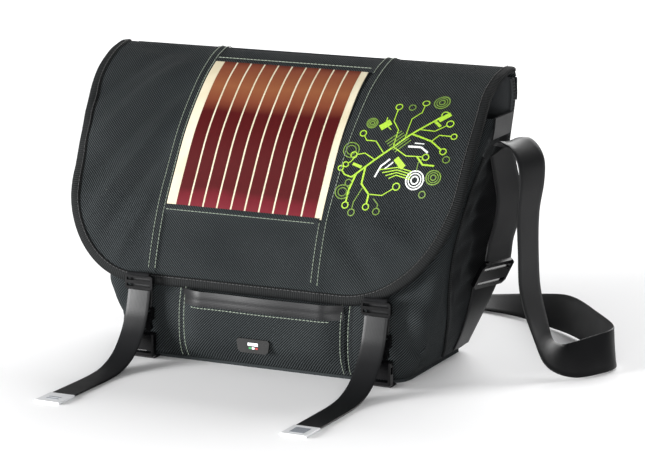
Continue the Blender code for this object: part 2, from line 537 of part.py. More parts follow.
def main():
    for obj in list(bpy.data.objects):
        bpy.data.objects.remove(obj, do_unlink=True)
    fabric = material("ballistic_fabric", (0.018, 0.021, 0.021), 0.75)
    side_fabric = material("side_fabric", (0.014, 0.015, 0.015), 0.80)
    lining = material("lining", (0.03, 0.03, 0.032), 0.70)
    tape = material("webbing", (0.012, 0.012, 0.013), 0.45)
    foam = material("padded_divider", (0.035, 0.036, 0.038), 0.85)
    board = material("base_board", (0.04, 0.04, 0.04), 0.60)
    plastic = material("buckle_plastic", (0.006, 0.006, 0.007), 0.25)
    rubber = material("rubber", (0.010, 0.010, 0.010), 0.60)
    film = material("panel_film", (0.78, 0.72, 0.55), 0.35)
    cell = material("solar_cell", (0.16, 0.014, 0.018), 0.22)
    steel = material("socket_steel", (0.6, 0.6, 0.6), 0.30, 1.0)
    label = material("strap_tip", (0.72, 0.72, 0.72), 0.45)
    make_body(fabric, side_fabric, tape, foam, board)
    make_pocket(fabric, tape, rubber)
    make_electrics(side_fabric, plastic, steel, rubber)
    make_flap(fabric, lining, tape)
    make_solar_panel(film, cell, plastic, rubber)
    for word, x in CLOSURES.items():
        make_closure(word, x, tape, plastic, label)
        make_buckle(word, x, tape, plastic)
    make_shoulder_strap(tape, plastic)


main()
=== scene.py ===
"""Looks of the solar messenger bag: cloth, webbing, stitching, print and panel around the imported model.

Metres, +Z up, -Y the front. The flap's profile and the body's outlines repeat the design's own curves.
"""

import json
import math

import bmesh
import bpy
import numpy as np
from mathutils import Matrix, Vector


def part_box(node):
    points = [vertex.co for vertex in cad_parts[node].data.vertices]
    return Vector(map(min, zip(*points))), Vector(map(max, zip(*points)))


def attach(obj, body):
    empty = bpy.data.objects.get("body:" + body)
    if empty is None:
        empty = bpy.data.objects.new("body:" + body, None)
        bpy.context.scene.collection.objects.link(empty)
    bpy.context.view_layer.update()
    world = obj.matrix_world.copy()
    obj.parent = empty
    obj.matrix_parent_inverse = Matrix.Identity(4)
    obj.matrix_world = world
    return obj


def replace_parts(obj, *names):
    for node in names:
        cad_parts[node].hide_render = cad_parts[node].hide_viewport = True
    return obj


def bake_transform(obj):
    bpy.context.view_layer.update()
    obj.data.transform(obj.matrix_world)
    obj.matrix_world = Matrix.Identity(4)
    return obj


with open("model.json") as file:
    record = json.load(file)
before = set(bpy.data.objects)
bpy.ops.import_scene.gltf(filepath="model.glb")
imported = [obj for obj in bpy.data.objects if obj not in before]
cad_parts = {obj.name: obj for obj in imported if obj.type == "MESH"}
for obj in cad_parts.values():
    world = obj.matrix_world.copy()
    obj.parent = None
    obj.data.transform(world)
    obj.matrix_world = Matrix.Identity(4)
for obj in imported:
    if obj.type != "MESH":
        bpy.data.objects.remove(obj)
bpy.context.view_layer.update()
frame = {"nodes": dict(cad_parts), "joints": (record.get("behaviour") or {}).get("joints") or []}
JOINTS = {joint["name"]: joint for joint in frame["joints"]}

# ---- design curves -------------------------------------------------------------------------------
# Half width, front face, side seam and corner radius of the body at each height: (z, value).
HALF_WIDTH = [(0.0008, 0.141), (0.0034, 0.146), (0.012, 0.155), (0.030, 0.163), (0.071, 0.177), (0.123, 0.185),
              (0.18, 0.191), (0.226, 0.197), (0.263, 0.2015), (0.2825, 0.200)]
FRONT_Y = [(0.0008, -0.0730), (0.0034, -0.0775), (0.012, -0.084), (0.030, -0.088), (0.060, -0.087),
           (0.090, -0.0785), (0.120, -0.067), (0.150, -0.054), (0.180, -0.037), (0.210, -0.0165),
           (0.235, 0.0035), (0.250, 0.017)]
SEAM_Y = [(0.0008, 0.005), (0.0034, 0.005), (0.030, -0.012), (0.060, -0.032), (0.100, -0.049), (0.130, -0.046),
          (0.157, -0.037), (0.180, -0.0235), (0.210, -0.003), (0.235, 0.017), (0.250, 0.031)]
CORNER_R = [(0.0008, 0.024), (0.0034, 0.026), (0.060, 0.022), (0.120, 0.014), (0.250, 0.012)]
BACK_Y, BACK_CORNER_R, BODY_TOP, BACK_TOP = 0.080, 0.010, 0.250, 0.2825
HOLLOW_DEEP, HOLLOW_Z = 0.012, (0.030, 0.245)
# The flap's outer face in side view, from the back seam over the top to the lower edge: (y, z).
FLAP_PROFILE = [(0.0845, 0.2832), (0.0820, 0.2895), (0.0740, 0.2925), (0.0620, 0.2900), (0.0460, 0.2830),
                (0.0170, 0.2630), (-0.0200, 0.2245), (-0.0470, 0.1830), (-0.0660, 0.1500), (-0.0790, 0.1180),
                (-0.0875, 0.0880), (-0.0915, 0.0600)]
FLAP_END = 0.2935
# The flap's side edges, (distance down the flap, x), and the width and start of its round lower corners.
FLAP_EDGE_LEFT = [(0.0, -0.236), (0.060, -0.240), (0.110, -0.235), (0.1435, -0.2293), (0.1875, -0.2251)]
FLAP_EDGE_RIGHT = [(0.0, 0.197), (0.055, 0.1885), (0.110, 0.1912), (0.175, 0.1912)]
CORNER_LEFT, CORNER_RIGHT = (0.085, 0.1875), (0.106, 0.1750)
SEAM_LEFT, SEAM_RIGHT, SEAM_LEAN = -0.1205, 0.0560, 0.0095
PANEL_X, PANEL_S = (-0.1160, 0.0550), (0.0465, 0.2190)
CELL_FIELD_X, CELL_COUNT, CELL_LINE = (-0.1065, 0.0485), 10, 0.0018
POCKET_X, POCKET_Z, POCKET_BULGE = (-0.0860, 0.0920), (0.0100, 0.0680), 0.0105
WEBBING, WIDE_WEBBING = 0.0254, 0.038
BODY_CLOTH, FLAP_CLOTH = 0.0022, 0.0012
FLOOR_RADIUS, FLOOR_SIDES = 3.4, 96
SIDES = {"left": -1, "right": 1}
FLAP_OUT, FRONT_OUT = (0, -0.6, 0.8), (0, -1, 0)

# The shoulder strap's centre line and the direction across it, from the left hem round the back to the right.
SHOULDER_STRAP = [
    ((-0.2040, 0.038, 0.2270), (0, 1, 0)), ((-0.2110, 0.040, 0.195), (0, 1, 0)),
    ((-0.2150, 0.052, 0.145), (0, 1, 0)), ((-0.2130, 0.078, 0.095), (-0.10, 1, 0.2)),
    ((-0.1960, 0.118, 0.046), (-0.40, 0.85, 0.35)), ((-0.1680, 0.165, 0.0165), (-0.55, 0.80, 0.20)),
    ((-0.1180, 0.212, 0.0052), (-0.45, 0.89, 0.05)), ((-0.0500, 0.240, 0.0026), (-0.20, 0.98, 0)),
    ((0.0300, 0.253, 0.0026), (0, 1, 0.02)), ((0.1000, 0.252, 0.0066), (0.05, 0.98, 0.22)),
    ((0.1600, 0.232, 0.0130), (0.30, 0.80, 0.56)), ((0.2180, 0.188, 0.0194), (0.20, 0.26, 0.94)),
    ((0.2680, 0.134, 0.0203), (0.05, 0.05, 1)), ((0.2990, 0.095, 0.0203), (0.0, 0.0, 1)),
    ((0.3085, 0.070, 0.0203), (-0.2, 0.1, 0.97)), ((0.2990, 0.046, 0.0184), (-0.40, 0.26, 0.86)),
    ((0.2800, 0.023, 0.0166), (-0.50, 0.47, 0.72)), ((0.2610, 0.018, 0.0270), (-0.28, 0.80, 0.50)),
    ((0.2490, 0.020, 0.0520), (0.06, 0.98, 0.12)), ((0.2400, 0.020, 0.0850), (0.17, 0.98, 0)),
    ((0.2375, 0.020, 0.1250), (0.17, 0.98, 0)), ((0.2370, 0.020, 0.1600), (0.22, 0.97, 0)),
    ((0.2400, 0.0205, 0.1900), (0.30, 0.95, 0)), ((0.2385, 0.0205, 0.2120), (0.36, 0.93, 0)),
    ((0.2290, 0.0200, 0.2262), (0.38, 0.92, 0)), ((0.2160, 0.0190, 0.2292), (0.38, 0.92, 0)),
    ((0.2070, 0.0180, 0.2245), (0.36, 0.93, 0)),
]
ADJUSTER_STRAP = [
    ((0.2036, 0.0300, 0.2190), (0.22, 0.97, 0)), ((0.2060, 0.0360, 0.1950), (0.26, 0.96, 0)),
    ((0.2080, 0.0420, 0.1700), (0.30, 0.95, 0)), ((0.2040, 0.0460, 0.1450), (0.33, 0.94, 0)),
    ((0.1975, 0.0480, 0.1240), (0.33, 0.94, 0)), ((0.1945, 0.0485, 0.1100), (0.33, 0.94, 0)),
]

# Soft folds of the flap, in its own (x, s), and of the body's front, in (distance round, z).
# Each is its start, its end, its width and its height.
FLAP_FOLDS = [
    ((-0.150, 0.055), (-0.222, 0.160), 0.0090, 0.0030), ((-0.138, 0.085), (-0.215, 0.205), 0.0095, -0.0030),
    ((-0.134, 0.115), (-0.200, 0.232), 0.0080, 0.0026), ((-0.132, 0.155), (-0.185, 0.258), 0.0080, -0.0024),
    ((-0.180, 0.040), (-0.236, 0.115), 0.0095, -0.0022), ((-0.130, 0.200), (-0.164, 0.276), 0.0075, 0.0018),
    ((-0.060, 0.250), (0.020, 0.262), 0.0200, -0.0013), ((0.075, 0.225), (0.120, 0.275), 0.0120, -0.0020),
    ((0.100, 0.215), (0.160, 0.240), 0.0110, 0.0016), ((0.075, 0.040), (0.150, 0.075), 0.0160, -0.0018),
    ((0.120, 0.110), (0.180, 0.200), 0.0200, 0.0014), ((-0.220, 0.020), (-0.150, 0.035), 0.0130, -0.0016),
]
BODY_FOLDS = [
    ((0.146, 0.070), (0.172, 0.030), 0.0085, -0.0036), ((0.150, 0.086), (0.180, 0.058), 0.0090, 0.0034),
    ((0.148, 0.038), (0.176, 0.014), 0.0085, 0.0030), ((0.152, 0.104), (0.176, 0.088), 0.0090, -0.0020),
    ((0.205, 0.070), (0.232, 0.030), 0.0090, -0.0022), ((0.208, 0.110), (0.232, 0.080), 0.0090, 0.0018),
    ((-0.146, 0.070), (-0.172, 0.030), 0.0085, -0.0034), ((-0.150, 0.040), (-0.176, 0.014), 0.0085, 0.0026),
    ((-0.160, 0.090), (-0.185, 0.066), 0.0090, 0.0024), ((-0.060, 0.100), (0.060, 0.096), 0.0110, -0.0014),
]


# ---- curves and surfaces -------------------------------------------------------------------------
def smooth_through(points, steps):
    """A Catmull-Rom curve through the points, with the given steps in each stretch."""
    rows = [np.array(p, float) for p in points]
    rows = [2 * rows[0] - rows[1], *rows, 2 * rows[-1] - rows[-2]]
    curve = []
    for a, b, c, d in zip(rows, rows[1:], rows[2:], rows[3:]):
        for t in np.linspace(0, 1, steps, endpoint=False):
            curve.append(0.5 * (2 * b + (c - a) * t + (2 * a - 5 * b + 4 * c - d) * t**2
                                + (3 * b - a - 3 * c + d) * t**3))
    curve.append(rows[-2])
    return np.array(curve)


HALF_WIDTH, FRONT_Y, SEAM_Y, CORNER_R = (
    smooth_through(table, 12) for table in (HALF_WIDTH, FRONT_Y, SEAM_Y, CORNER_R))
FLAP_EDGE_LEFT, FLAP_EDGE_RIGHT = (smooth_through(table, 12) for table in (FLAP_EDGE_LEFT, FLAP_EDGE_RIGHT))
PROFILE = smooth_through(FLAP_PROFILE, 24)


def run_lengths(line):
    return np.concatenate([[0], np.cumsum(np.linalg.norm(np.diff(line, axis=0), axis=1))])


PROFILE_S = run_lengths(PROFILE)


def read(table, z):
    return float(np.interp(z, table[:, 0], table[:, 1]))


def smoothstep(low, high, value):
    t = min(1.0, max(0.0, (value - low) / (high - low)))
    return t * t * (3 - 2 * t)


def creases(x, y, folds):
    """The height of soft folds at a point: rounded ridges or valleys along lines, fading at their ends."""
    height = 0.0
    for (ax, ay), (bx, by), width, depth in folds:
        dx, dy = bx - ax, by - ay
        t = min(1.0, max(0.0, ((x - ax) * dx + (y - ay) * dy) / (dx * dx + dy * dy)))
        off = math.hypot(x - ax - t * dx, y - ay - t * dy)
        height += depth * (1 - 0.7 * abs(2 * t - 1) ** 3) * math.exp(-((off / width) ** 2))
    return height


def seam_right(s):
    """The right-hand seam of the flap leans away from the panel towards the top."""
    return SEAM_RIGHT + SEAM_LEAN * max(0.0, 1 - s / PANEL_S[1])


LAP, LAP_HIGH = 0.0033, 0.0011


def cloth_height(x, s):
    """How far the flap's cloth stands off its smooth profile: its folds, and the laps of its side panels.

    The stitched window round the solar panel stays flat.
    """
    beside = max(smoothstep(0.002, 0.020, PANEL_X[0] - x), smoothstep(0.002, 0.020, x - PANEL_X[1]))
    below = smoothstep(0.002, 0.020, s - PANEL_S[1])
    height = 2.0 * creases(x, s, FLAP_FOLDS) * max(beside, below) * smoothstep(0.004, 0.040, s)
    height += 0.0005 * math.sin(41 * x + 2) * smoothstep(0.20, 0.29, s)
    left, right = SEAM_LEFT + LAP - x, x - seam_right(s) + LAP
    if left > 0:
        height += LAP_HIGH * smoothstep(0.016, 0.009, left)
    if right > 0:
        height += LAP_HIGH * smoothstep(0.016, 0.009, right)
    return height


def on_flap(x, s, height=0.0, soft=True):
    """The point at x, a distance s down the flap from its back seam, and a height above its cloth."""
    y, z = (np.interp(s, PROFILE_S, PROFILE[:, i]) for i in (0, 1))
    near = [np.array([np.interp(s + d, PROFILE_S, PROFILE[:, i]) for i in (0, 1)]) for d in (-0.004, 0.004)]
    along = (near[1] - near[0]) / np.linalg.norm(near[1] - near[0])
    height += cloth_height(x, s) if soft else 0.0
    return Vector((x, y + height * along[1], z - height * along[0]))


def flap_edge(side, s):
    """The x of the flap's edge at s: straight at first, then a quarter ellipse at the corner."""
    table, (wide, start) = (FLAP_EDGE_LEFT, CORNER_LEFT) if side < 0 else (FLAP_EDGE_RIGHT, CORNER_RIGHT)
    if s <= start:
        return read(table, s)
    sink = 1 - math.sqrt(max(0.0, 1 - ((s - start) / (FLAP_END - start)) ** 2))
    return table[-1][1] - side * wide * sink


def foot_tuck(z):
    """How far the back turns under at its foot."""
    return 0.004 * (1 - smoothstep(0.0, 0.010, z))


def front_path(z, columns):
    """Evenly spaced points round the front wall at one height, right to left, with their distances."""
    wide, front, seam, r = (read(t, z) for t in (HALF_WIDTH, FRONT_Y, SEAM_Y, CORNER_R))
    half = [(wide, seam)]
    half += [(wide - r + r * math.cos(a), front + r - r * math.sin(a))
             for a in np.linspace(0, math.pi / 2, 31)]
    half.append((0.0, front))
    line = np.array(half + [(-x, y) for x, y in half[-2::-1]])
    run = run_lengths(line)
    at = np.linspace(0, run[-1], columns)
    xs, ys = (np.interp(at, run, line[:, k]) for k in (0, 1))
    return [(Vector((x, y, z)), run[-1] / 2 - a) for x, y, a in zip(xs, ys, at)]


# ---- meshes --------------------------------------------------------------------------------------
def solid(name, points, faces, finish, coords=None, sharp=50, inner=None, inner_from=0):
    """An object from points and faces that face out, with cloth coordinates in metres as a UV map."""
    mesh = bpy.data.meshes.new(name)
    mesh.from_pydata([tuple(p) for p in points], [], [tuple(f) for f in faces])
    if coords is not None:
        layer = mesh.uv_layers.new(name="weave")
        corners = np.empty(len(mesh.loops), dtype=np.int32)
        mesh.loops.foreach_get("vertex_index", corners)
        layer.data.foreach_set("uv", np.asarray(coords, dtype=np.float32)[corners].ravel())
    mesh.materials.append(finish)
    if inner:
        mesh.materials.append(inner)
        mesh.polygons.foreach_set("material_index", [int(i >= inner_from) for i in range(len(mesh.polygons))])
    bm = bmesh.new()
    bm.from_mesh(mesh)
    bmesh.ops.recalc_face_normals(bm, faces=bm.faces)
    bm.to_mesh(mesh)
    bm.free()
    mesh.shade_smooth()
    mesh.set_sharp_from_angle(angle=math.radians(sharp))
    obj = bpy.data.objects.new(name, mesh)
    bpy.context.scene.collection.objects.link(obj)
    return obj


def grid_faces(height, width):
    """The faces of a grid of points, and the points round its rim in order."""
    faces = [(j * width + i, j * width + i + 1, (j + 1) * width + i + 1, (j + 1) * width + i)
             for j in range(height - 1) for i in range(width - 1)]
    rim = list(range(width)) + [j * width + width - 1 for j in range(1, height)]
    rim += [height * width - 1 - i for i in range(1, width)] + [j * width for j in range(height - 2, 0, -1)]
    return faces, rim


def laid(rows, u, v):
    """Cloth coordinates for a grid of points, from two of their axes."""
    return [[(p[u], p[v]) for p in row] for row in rows]


def cloth_grid(name, rows, coords, finish, outward, thickness, inner=None):
    """A closed sheet through a grid of points, thickened away from its outer face."""
    points = np.array([[tuple(p) for p in row] for row in rows])
    height, width = points.shape[:2]
    normals = np.cross(np.gradient(points, axis=0), np.gradient(points, axis=1))
    normals /= np.linalg.norm(normals, axis=2, keepdims=True)
    if (normals.mean(axis=(0, 1)) * outward).sum() < 0:
        normals = -normals
    both = np.concatenate([points.reshape(-1, 3), (points - normals * thickness).reshape(-1, 3)])
    count = height * width
    outer, rim = grid_faces(height, width)
    faces = outer + [(a, b, b + count, a + count) for a, b in zip(rim, rim[1:] + rim[:1])]
    faces += [tuple(k + count for k in f[::-1]) for f in outer]
    flat = [pair for row in coords for pair in row]
    return solid(name, both, faces, finish, flat + flat, 60, inner, len(outer))


def tube_mesh(name, rings, finish, coords, sharp=55):
    """A closed solid through rings of points, capped at both ends."""
    count = len(rings[0])
    faces = []
    for low in range(0, (len(rings) - 1) * count, count):
        for i in range(count):
            k = (i + 1) % count
            faces.append((low + i, low + k, low + count + k, low + count + i))
    faces.append(tuple(range(count)))
    faces.append(tuple(range((len(rings) - 1) * count, len(rings) * count)))
    return solid(name, [p for ring in rings for p in ring], faces, finish, coords, sharp)


def webbing(name, stations, width, thickness, finish, steps=8, bow=0.0):
    """Flat webbing with rounded edges along a smooth curve: each station is its centre and its across."""
    centres = smooth_through([s[0] for s in stations], steps)
    sides = smooth_through([s[1] for s in stations], steps)
    half, r = width / 2, thickness / 2
    top = [(x, r * (1 + 0.12 * (abs(x) / half) ** 6)) for x in np.linspace(-half + r, half - r, 9)]
    edge = [(half - r + r * math.cos(a), r * math.sin(a)) for a in np.linspace(math.pi / 3, -math.pi / 3, 3)]
    section = top + edge + [(x, -y) for x, y in top[::-1]] + [(-x, y) for x, y in edge[::-1]]
    run = run_lengths(centres)
    rings, coords = [], []
    for i, centre in enumerate(centres):
        ahead = Vector(centres[min(i + 1, len(centres) - 1)] - centres[max(i - 1, 0)]).normalized()
        side = Vector(sides[i])
        side = (side - side.dot(ahead) * ahead).normalized()
        up = ahead.cross(side).normalized()
        rings.append([Vector(centre) + side * across + up * (rise + bow * (1 - (2 * across / width) ** 2))
                      for across, rise in section])
        coords += [(across, run[i]) for across, _ in section]
    obj = tube_mesh(name, rings, finish, coords)
    return obj


def round_cord(name, points, radius, finish, steps=5):
    """A round cord along a smooth curve."""
    line = smooth_through(points, steps)
    run = run_lengths(line)
    rings, coords = [], []
    side = Vector((0.3, 0.9, 0.3))
    for i, centre in enumerate(line):
        ahead = Vector(line[min(i + 1, len(line) - 1)] - line[max(i - 1, 0)]).normalized()
        side = (side - side.dot(ahead) * ahead).normalized()
        up = ahead.cross(side)
        angles = np.linspace(0, 2 * math.pi, 10, endpoint=False)
        rings.append([Vector(centre) + (side * math.cos(a) + up * math.sin(a)) * radius for a in angles])
        coords += [(a * radius, run[i]) for a in angles]
    return tube_mesh(name, rings, finish, coords)


def stitches(name, runs, finish, up, long=0.0034, gap=0.0006, radius=0.00034):
    """Thread along lines on a surface: every stitch is a small round bar that dips in at both ends."""
    shape = np.array([(0, -0.3, 0.5), (0.12, 0.6, 1), (0.5, 0.9, 1.1), (0.88, 0.6, 1), (1, -0.3, 0.5)])
    around = np.linspace(0, 2 * math.pi, 6, endpoint=False)
    points, faces = [], []
    for path in runs:
        line = np.array([tuple(p) for p in path])
        run = run_lengths(line)
        for start in np.arange(0.0006, run[-1] - long, long + gap):
            base = len(points)
            for t, lift, size in shape:
                where = start + t * long
                here, there = (Vector([np.interp(w, run, line[:, k]) for k in range(3)])
                               for w in (where - 0.0004, where + 0.0004))
                ahead = (there - here).normalized()
                out = Vector(up).cross(ahead).normalized()
                rise = ahead.cross(out)
                centre = (here + there) / 2 + rise * radius * lift
                points += [centre + (out * math.cos(a) + rise * math.sin(a)) * radius * size for a in around]
            for ring in range(len(shape) - 1):
                for i in range(6):
                    k = (i + 1) % 6
                    square = ((0, i), (0, k), (1, k), (1, i))
                    faces.append(tuple(base + 6 * (ring + a) + b for a, b in square))
            faces.append(tuple(range(base, base + 6)))
            faces.append(tuple(range(base + 24, base + 30)))
    return solid(name, points, faces, finish, sharp=180)


# ---- materials -----------------------------------------------------------------------------------
class Shader:
    """A material's node tree, with short ways to add to it."""

    def __init__(self, name, colour, roughness, metallic=0.0):
        self.material = bpy.data.materials.new(name)
        self.material.use_nodes = True
        self.tree = self.material.node_tree
        self.surface = self.tree.nodes["Principled BSDF"]
        self.set("Base Color", (*colour, 1))
        self.set("Roughness", roughness)
        self.set("Metallic", metallic)

    def feed(self, socket, value):
        if isinstance(value, bpy.types.NodeSocket):
            self.tree.links.new(value, socket)
        else:
            socket.default_value = value

    def set(self, socket, value):
        self.feed(self.surface.inputs[socket], value)

    def add(self, kind, **settings):
        node = self.tree.nodes.new(kind)
        for key, value in settings.items():
            setattr(node, key, value)
        return node

    def math(self, operation, a, b=0.0, c=0.0):
        node = self.add("ShaderNodeMath", operation=operation)
        for socket, value in zip(node.inputs, (a, b, c)):
            self.feed(socket, value)
        return node.outputs[0]

    def coords(self):
        """The cloth's own coordinates, in metres, as (u, v)."""
        node = self.add("ShaderNodeUVMap", uv_map="weave")
        split = self.add("ShaderNodeSeparateXYZ")
        self.tree.links.new(node.outputs["UV"], split.inputs[0])
        return split.outputs[0], split.outputs[1]

    def noise(self, scale, detail=3.0, roughness=0.55):
        where = self.add("ShaderNodeTexCoord")
        node = self.add("ShaderNodeTexNoise")
        self.feed(node.inputs["Vector"], where.outputs["Object"])
        self.feed(node.inputs["Scale"], scale)
        self.feed(node.inputs["Detail"], detail)
        self.feed(node.inputs["Roughness"], roughness)
        return node.outputs[0]

    def wave(self, value, pitch):
        """A sine between 0 and 1 along a value, once every pitch."""
        sine = self.math("SINE", self.math("MULTIPLY", value, 2 * math.pi / pitch))
        return self.math("MULTIPLY_ADD", sine, 0.5, 0.5)

    def ramp(self, factor, *stops):
        """A colour ramp: each stop is (position, colour)."""
        node = self.add("ShaderNodeValToRGB")
        self.feed(node.inputs[0], factor)
        elements = node.color_ramp.elements
        while len(elements) < len(stops):
            elements.new(1.0)
        for element, (position, colour) in zip(elements, stops):
            element.position = position
            element.color = (*colour, 1)
        return node.outputs[0]

    def mix(self, factor, a, b, blend="MIX"):
        node = self.add("ShaderNodeMix", data_type="RGBA", blend_type=blend)
        self.feed(node.inputs[0], factor)
        for socket, value in ((node.inputs[6], a), (node.inputs[7], b)):
            self.feed(socket, value if isinstance(value, bpy.types.NodeSocket) else (*value, 1))
        return node.outputs[2]

    def bump(self, height, strength, distance):
        node = self.add("ShaderNodeBump")
        self.feed(node.inputs["Height"], height)
        self.feed(node.inputs["Strength"], strength)
        self.feed(node.inputs["Distance"], distance)
        self.set("Normal", node.outputs[0])


def scaled(colour, factor):
    return tuple(c * factor for c in colour)


def twill(name, dark, light, pitch, depth=0.0004, roughness=0.75, sheen=0.0):
    """Ballistic nylon: beaded diagonal ribs, with slow changes of shade."""
    s = Shader(name, light, roughness)
    u, v = s.coords()
    rib = s.wave(s.math("SUBTRACT", u, v), pitch)
    bead = s.wave(s.math("ADD", u, v), pitch * 0.8)
    height = s.math("MULTIPLY", rib, s.math("MULTIPLY_ADD", bead, 0.7, 0.3))
    worn = s.ramp(s.noise(9.0), (0.35, (0.80, 0.82, 0.82)), (0.7, (1.14, 1.14, 1.12)))
    s.set("Base Color", s.mix(1.0, s.mix(height, dark, light), worn, "MULTIPLY"))
    s.bump(height, 1.0, depth)
    s.set("Sheen Weight", sheen)
    s.set("Sheen Roughness", 0.4)
    s.set("Sheen Tint", (0.75, 0.82, 0.85, 1))
    s.set("Specular IOR Level", 0.05)
    return s.material


def tape_material(name, colour, pitch=0.0014, roughness=0.42, depth=0.00010):
    """Woven webbing: fine ribs across it in a herringbone, and a satin face."""
    s = Shader(name, colour, roughness)
    u, v = s.coords()
    zigzag = s.math("ABSOLUTE", s.math("SUBTRACT", s.math("PINGPONG", u, 0.0042), 0.0021))
    rib = s.wave(s.math("ADD", v, zigzag), pitch)
    height = s.math("MULTIPLY", s.math("ADD", rib, s.wave(u, pitch * 1.1)), 0.5)
    s.set("Base Color", s.mix(height, scaled(colour, 0.5), scaled(colour, 1.4)))
    s.set("Roughness", s.math("MULTIPLY_ADD", s.noise(35.0), 0.16, roughness - 0.08))
    s.bump(height, 0.35, depth)
    s.set("Specular IOR Level", 0.19)
    return s.material


def grosgrain():
    """Binding tape: strong ribs across it and a dull face."""
    s = Shader("binding_tape", (0.010, 0.011, 0.011), 0.7)
    u, v = s.coords()
    rib = s.wave(v, 0.0021)
    s.set("Base Color", s.mix(rib, (0.0010, 0.0012, 0.0012), (0.0115, 0.0125, 0.0130)))
    s.bump(s.math("MULTIPLY", rib, s.math("MULTIPLY_ADD", s.wave(u, 0.0012), 0.2, 0.8)), 0.9, 0.0004)
    s.set("Specular IOR Level", 0.12)
    return s.material


def moulded(name, colour, roughness, grain=0.00006, metallic=0.0):
    """Moulded plastic, rubber or stamped metal: a faint grain, and scuffs that dull it."""
    s = Shader(name, colour, roughness, metallic)
    s.set("Base Color", s.ramp(s.noise(40.0, 5.0), (0.3, scaled(colour, 0.75)), (0.75, scaled(colour, 1.35))))
    s.set("Roughness", s.math("MULTIPLY_ADD", s.noise(60.0, 6.0, 0.7), 0.26, roughness - 0.12))
    s.bump(s.noise(900.0, 2.0), 0.35, grain)
    s.set("Specular IOR Level", 0.22)
    return s.material


def thread_material(name, colour):
    """Twisted polyester thread."""
    s = Shader(name, colour, 0.55)
    s.set("Base Color", s.ramp(s.noise(700.0), (0.3, scaled(colour, 0.55)), (0.7, colour)))
    s.set("Sheen Weight", 0.2)
    return s.material


def ink(name, colour):
    """Screen-printed ink over the weave: a little patchy and rough."""
    s = Shader(name, colour, 0.5)
    u, v = s.coords()
    weave = s.wave(s.math("ADD", u, v), 0.0033)
    patchy = s.ramp(s.noise(420.0, 4.0), (0.25, scaled(colour, 0.7)), (0.6, colour))
    s.set("Base Color", s.mix(s.math("MULTIPLY", weave, 0.25), patchy, scaled(colour, 0.5)))
    s.bump(weave, 0.5, 0.0003)
    return s.material


def cell_material_with_painted_reflections():
    """A thin-film cell under clear film: maroon, with a brown painted reflection over its top third and a
    redder painted reflection at its foot.
    """
    s = Shader("solar_cell", (0.13, 0.010, 0.012), 0.45)
    u, v = s.coords()
    down = s.math("DIVIDE", s.math("SUBTRACT", v, PANEL_S[0]), PANEL_S[1] - PANEL_S[0])
    drift = s.math("MULTIPLY_ADD", s.noise(11.0), 0.10, -0.05)
    # The colour is darker at the very top edge. The brown stops from 5 to 30 % down are a painted reflection,
    # the redder stops from 92 % down are a painted reflection, and the maroon between them is the cells' own
    # colour.
    colour = s.ramp(s.math("ADD", down, drift), (0.0, (0.06, 0.010, 0.006)), (0.05, (0.13, 0.034, 0.016)),
                    (0.20, (0.165, 0.056, 0.023)), (0.30, (0.125, 0.032, 0.015)),
                    (0.385, (0.046, 0.0026, 0.0029)), (0.88, (0.050, 0.0030, 0.0038)),
                    (0.925, (0.085, 0.0045, 0.0085)), (1.0, (0.105, 0.007, 0.013)))
    streak = s.math("MULTIPLY_ADD", s.wave(u, 0.0011), 0.08, 0.96)
    grey = s.add("ShaderNodeCombineColor")
    for socket in grey.inputs:
        s.feed(socket, streak)
    s.set("Base Color", s.mix(1.0, colour, grey.outputs[0], "MULTIPLY"))
    s.bump(s.noise(55.0), 0.10, 0.0005)
    s.set("Specular IOR Level", 0.15)
    s.set("Coat Weight", 0.12)
    s.set("Coat Roughness", 0.15)
    return s.material


def film_material():
    """The ivory laminate that the cells are printed on."""
    s = Shader("ivory_film", (0.66, 0.57, 0.36), 0.42)
    s.set("Base Color", s.ramp(s.noise(30.0), (0.3, (0.44, 0.39, 0.27)), (0.7, (0.51, 0.47, 0.36))))
    s.bump(s.noise(160.0), 0.1, 0.0003)
    s.set("Coat Weight", 0.3)
    s.set("Coat Roughness", 0.15)
    return s.material


def label_material():
    """Pale reflective strap end: a fine bead pattern under a gloss face."""
    s = Shader("reflective_end", (0.80, 0.81, 0.82), 0.35)
    u, v = s.coords()
    bead = s.math("MULTIPLY", s.wave(u, 0.0016), s.wave(v, 0.0016))
    s.set("Base Color", s.mix(bead, (0.70, 0.71, 0.73), (0.84, 0.85, 0.86)))
    s.bump(bead, 0.3, 0.0002)
    s.set("Coat Weight", 0.3)
    return s.material


# ---- stage ---------------------------------------------------------------------------------------
def softbox(name, place, aim, size, power, colour=(1, 1, 1)):
    light = bpy.data.lights.new(name, "AREA")
    light.shape = "RECTANGLE"
    light.size, light.size_y = size
    light.energy = power
    light.color = colour
    obj = bpy.data.objects.new(name, light)
    obj.location = place
    obj.rotation_euler = (Vector(aim) - Vector(place)).to_track_quat("-Z", "Y").to_euler()
    bpy.context.scene.collection.objects.link(obj)


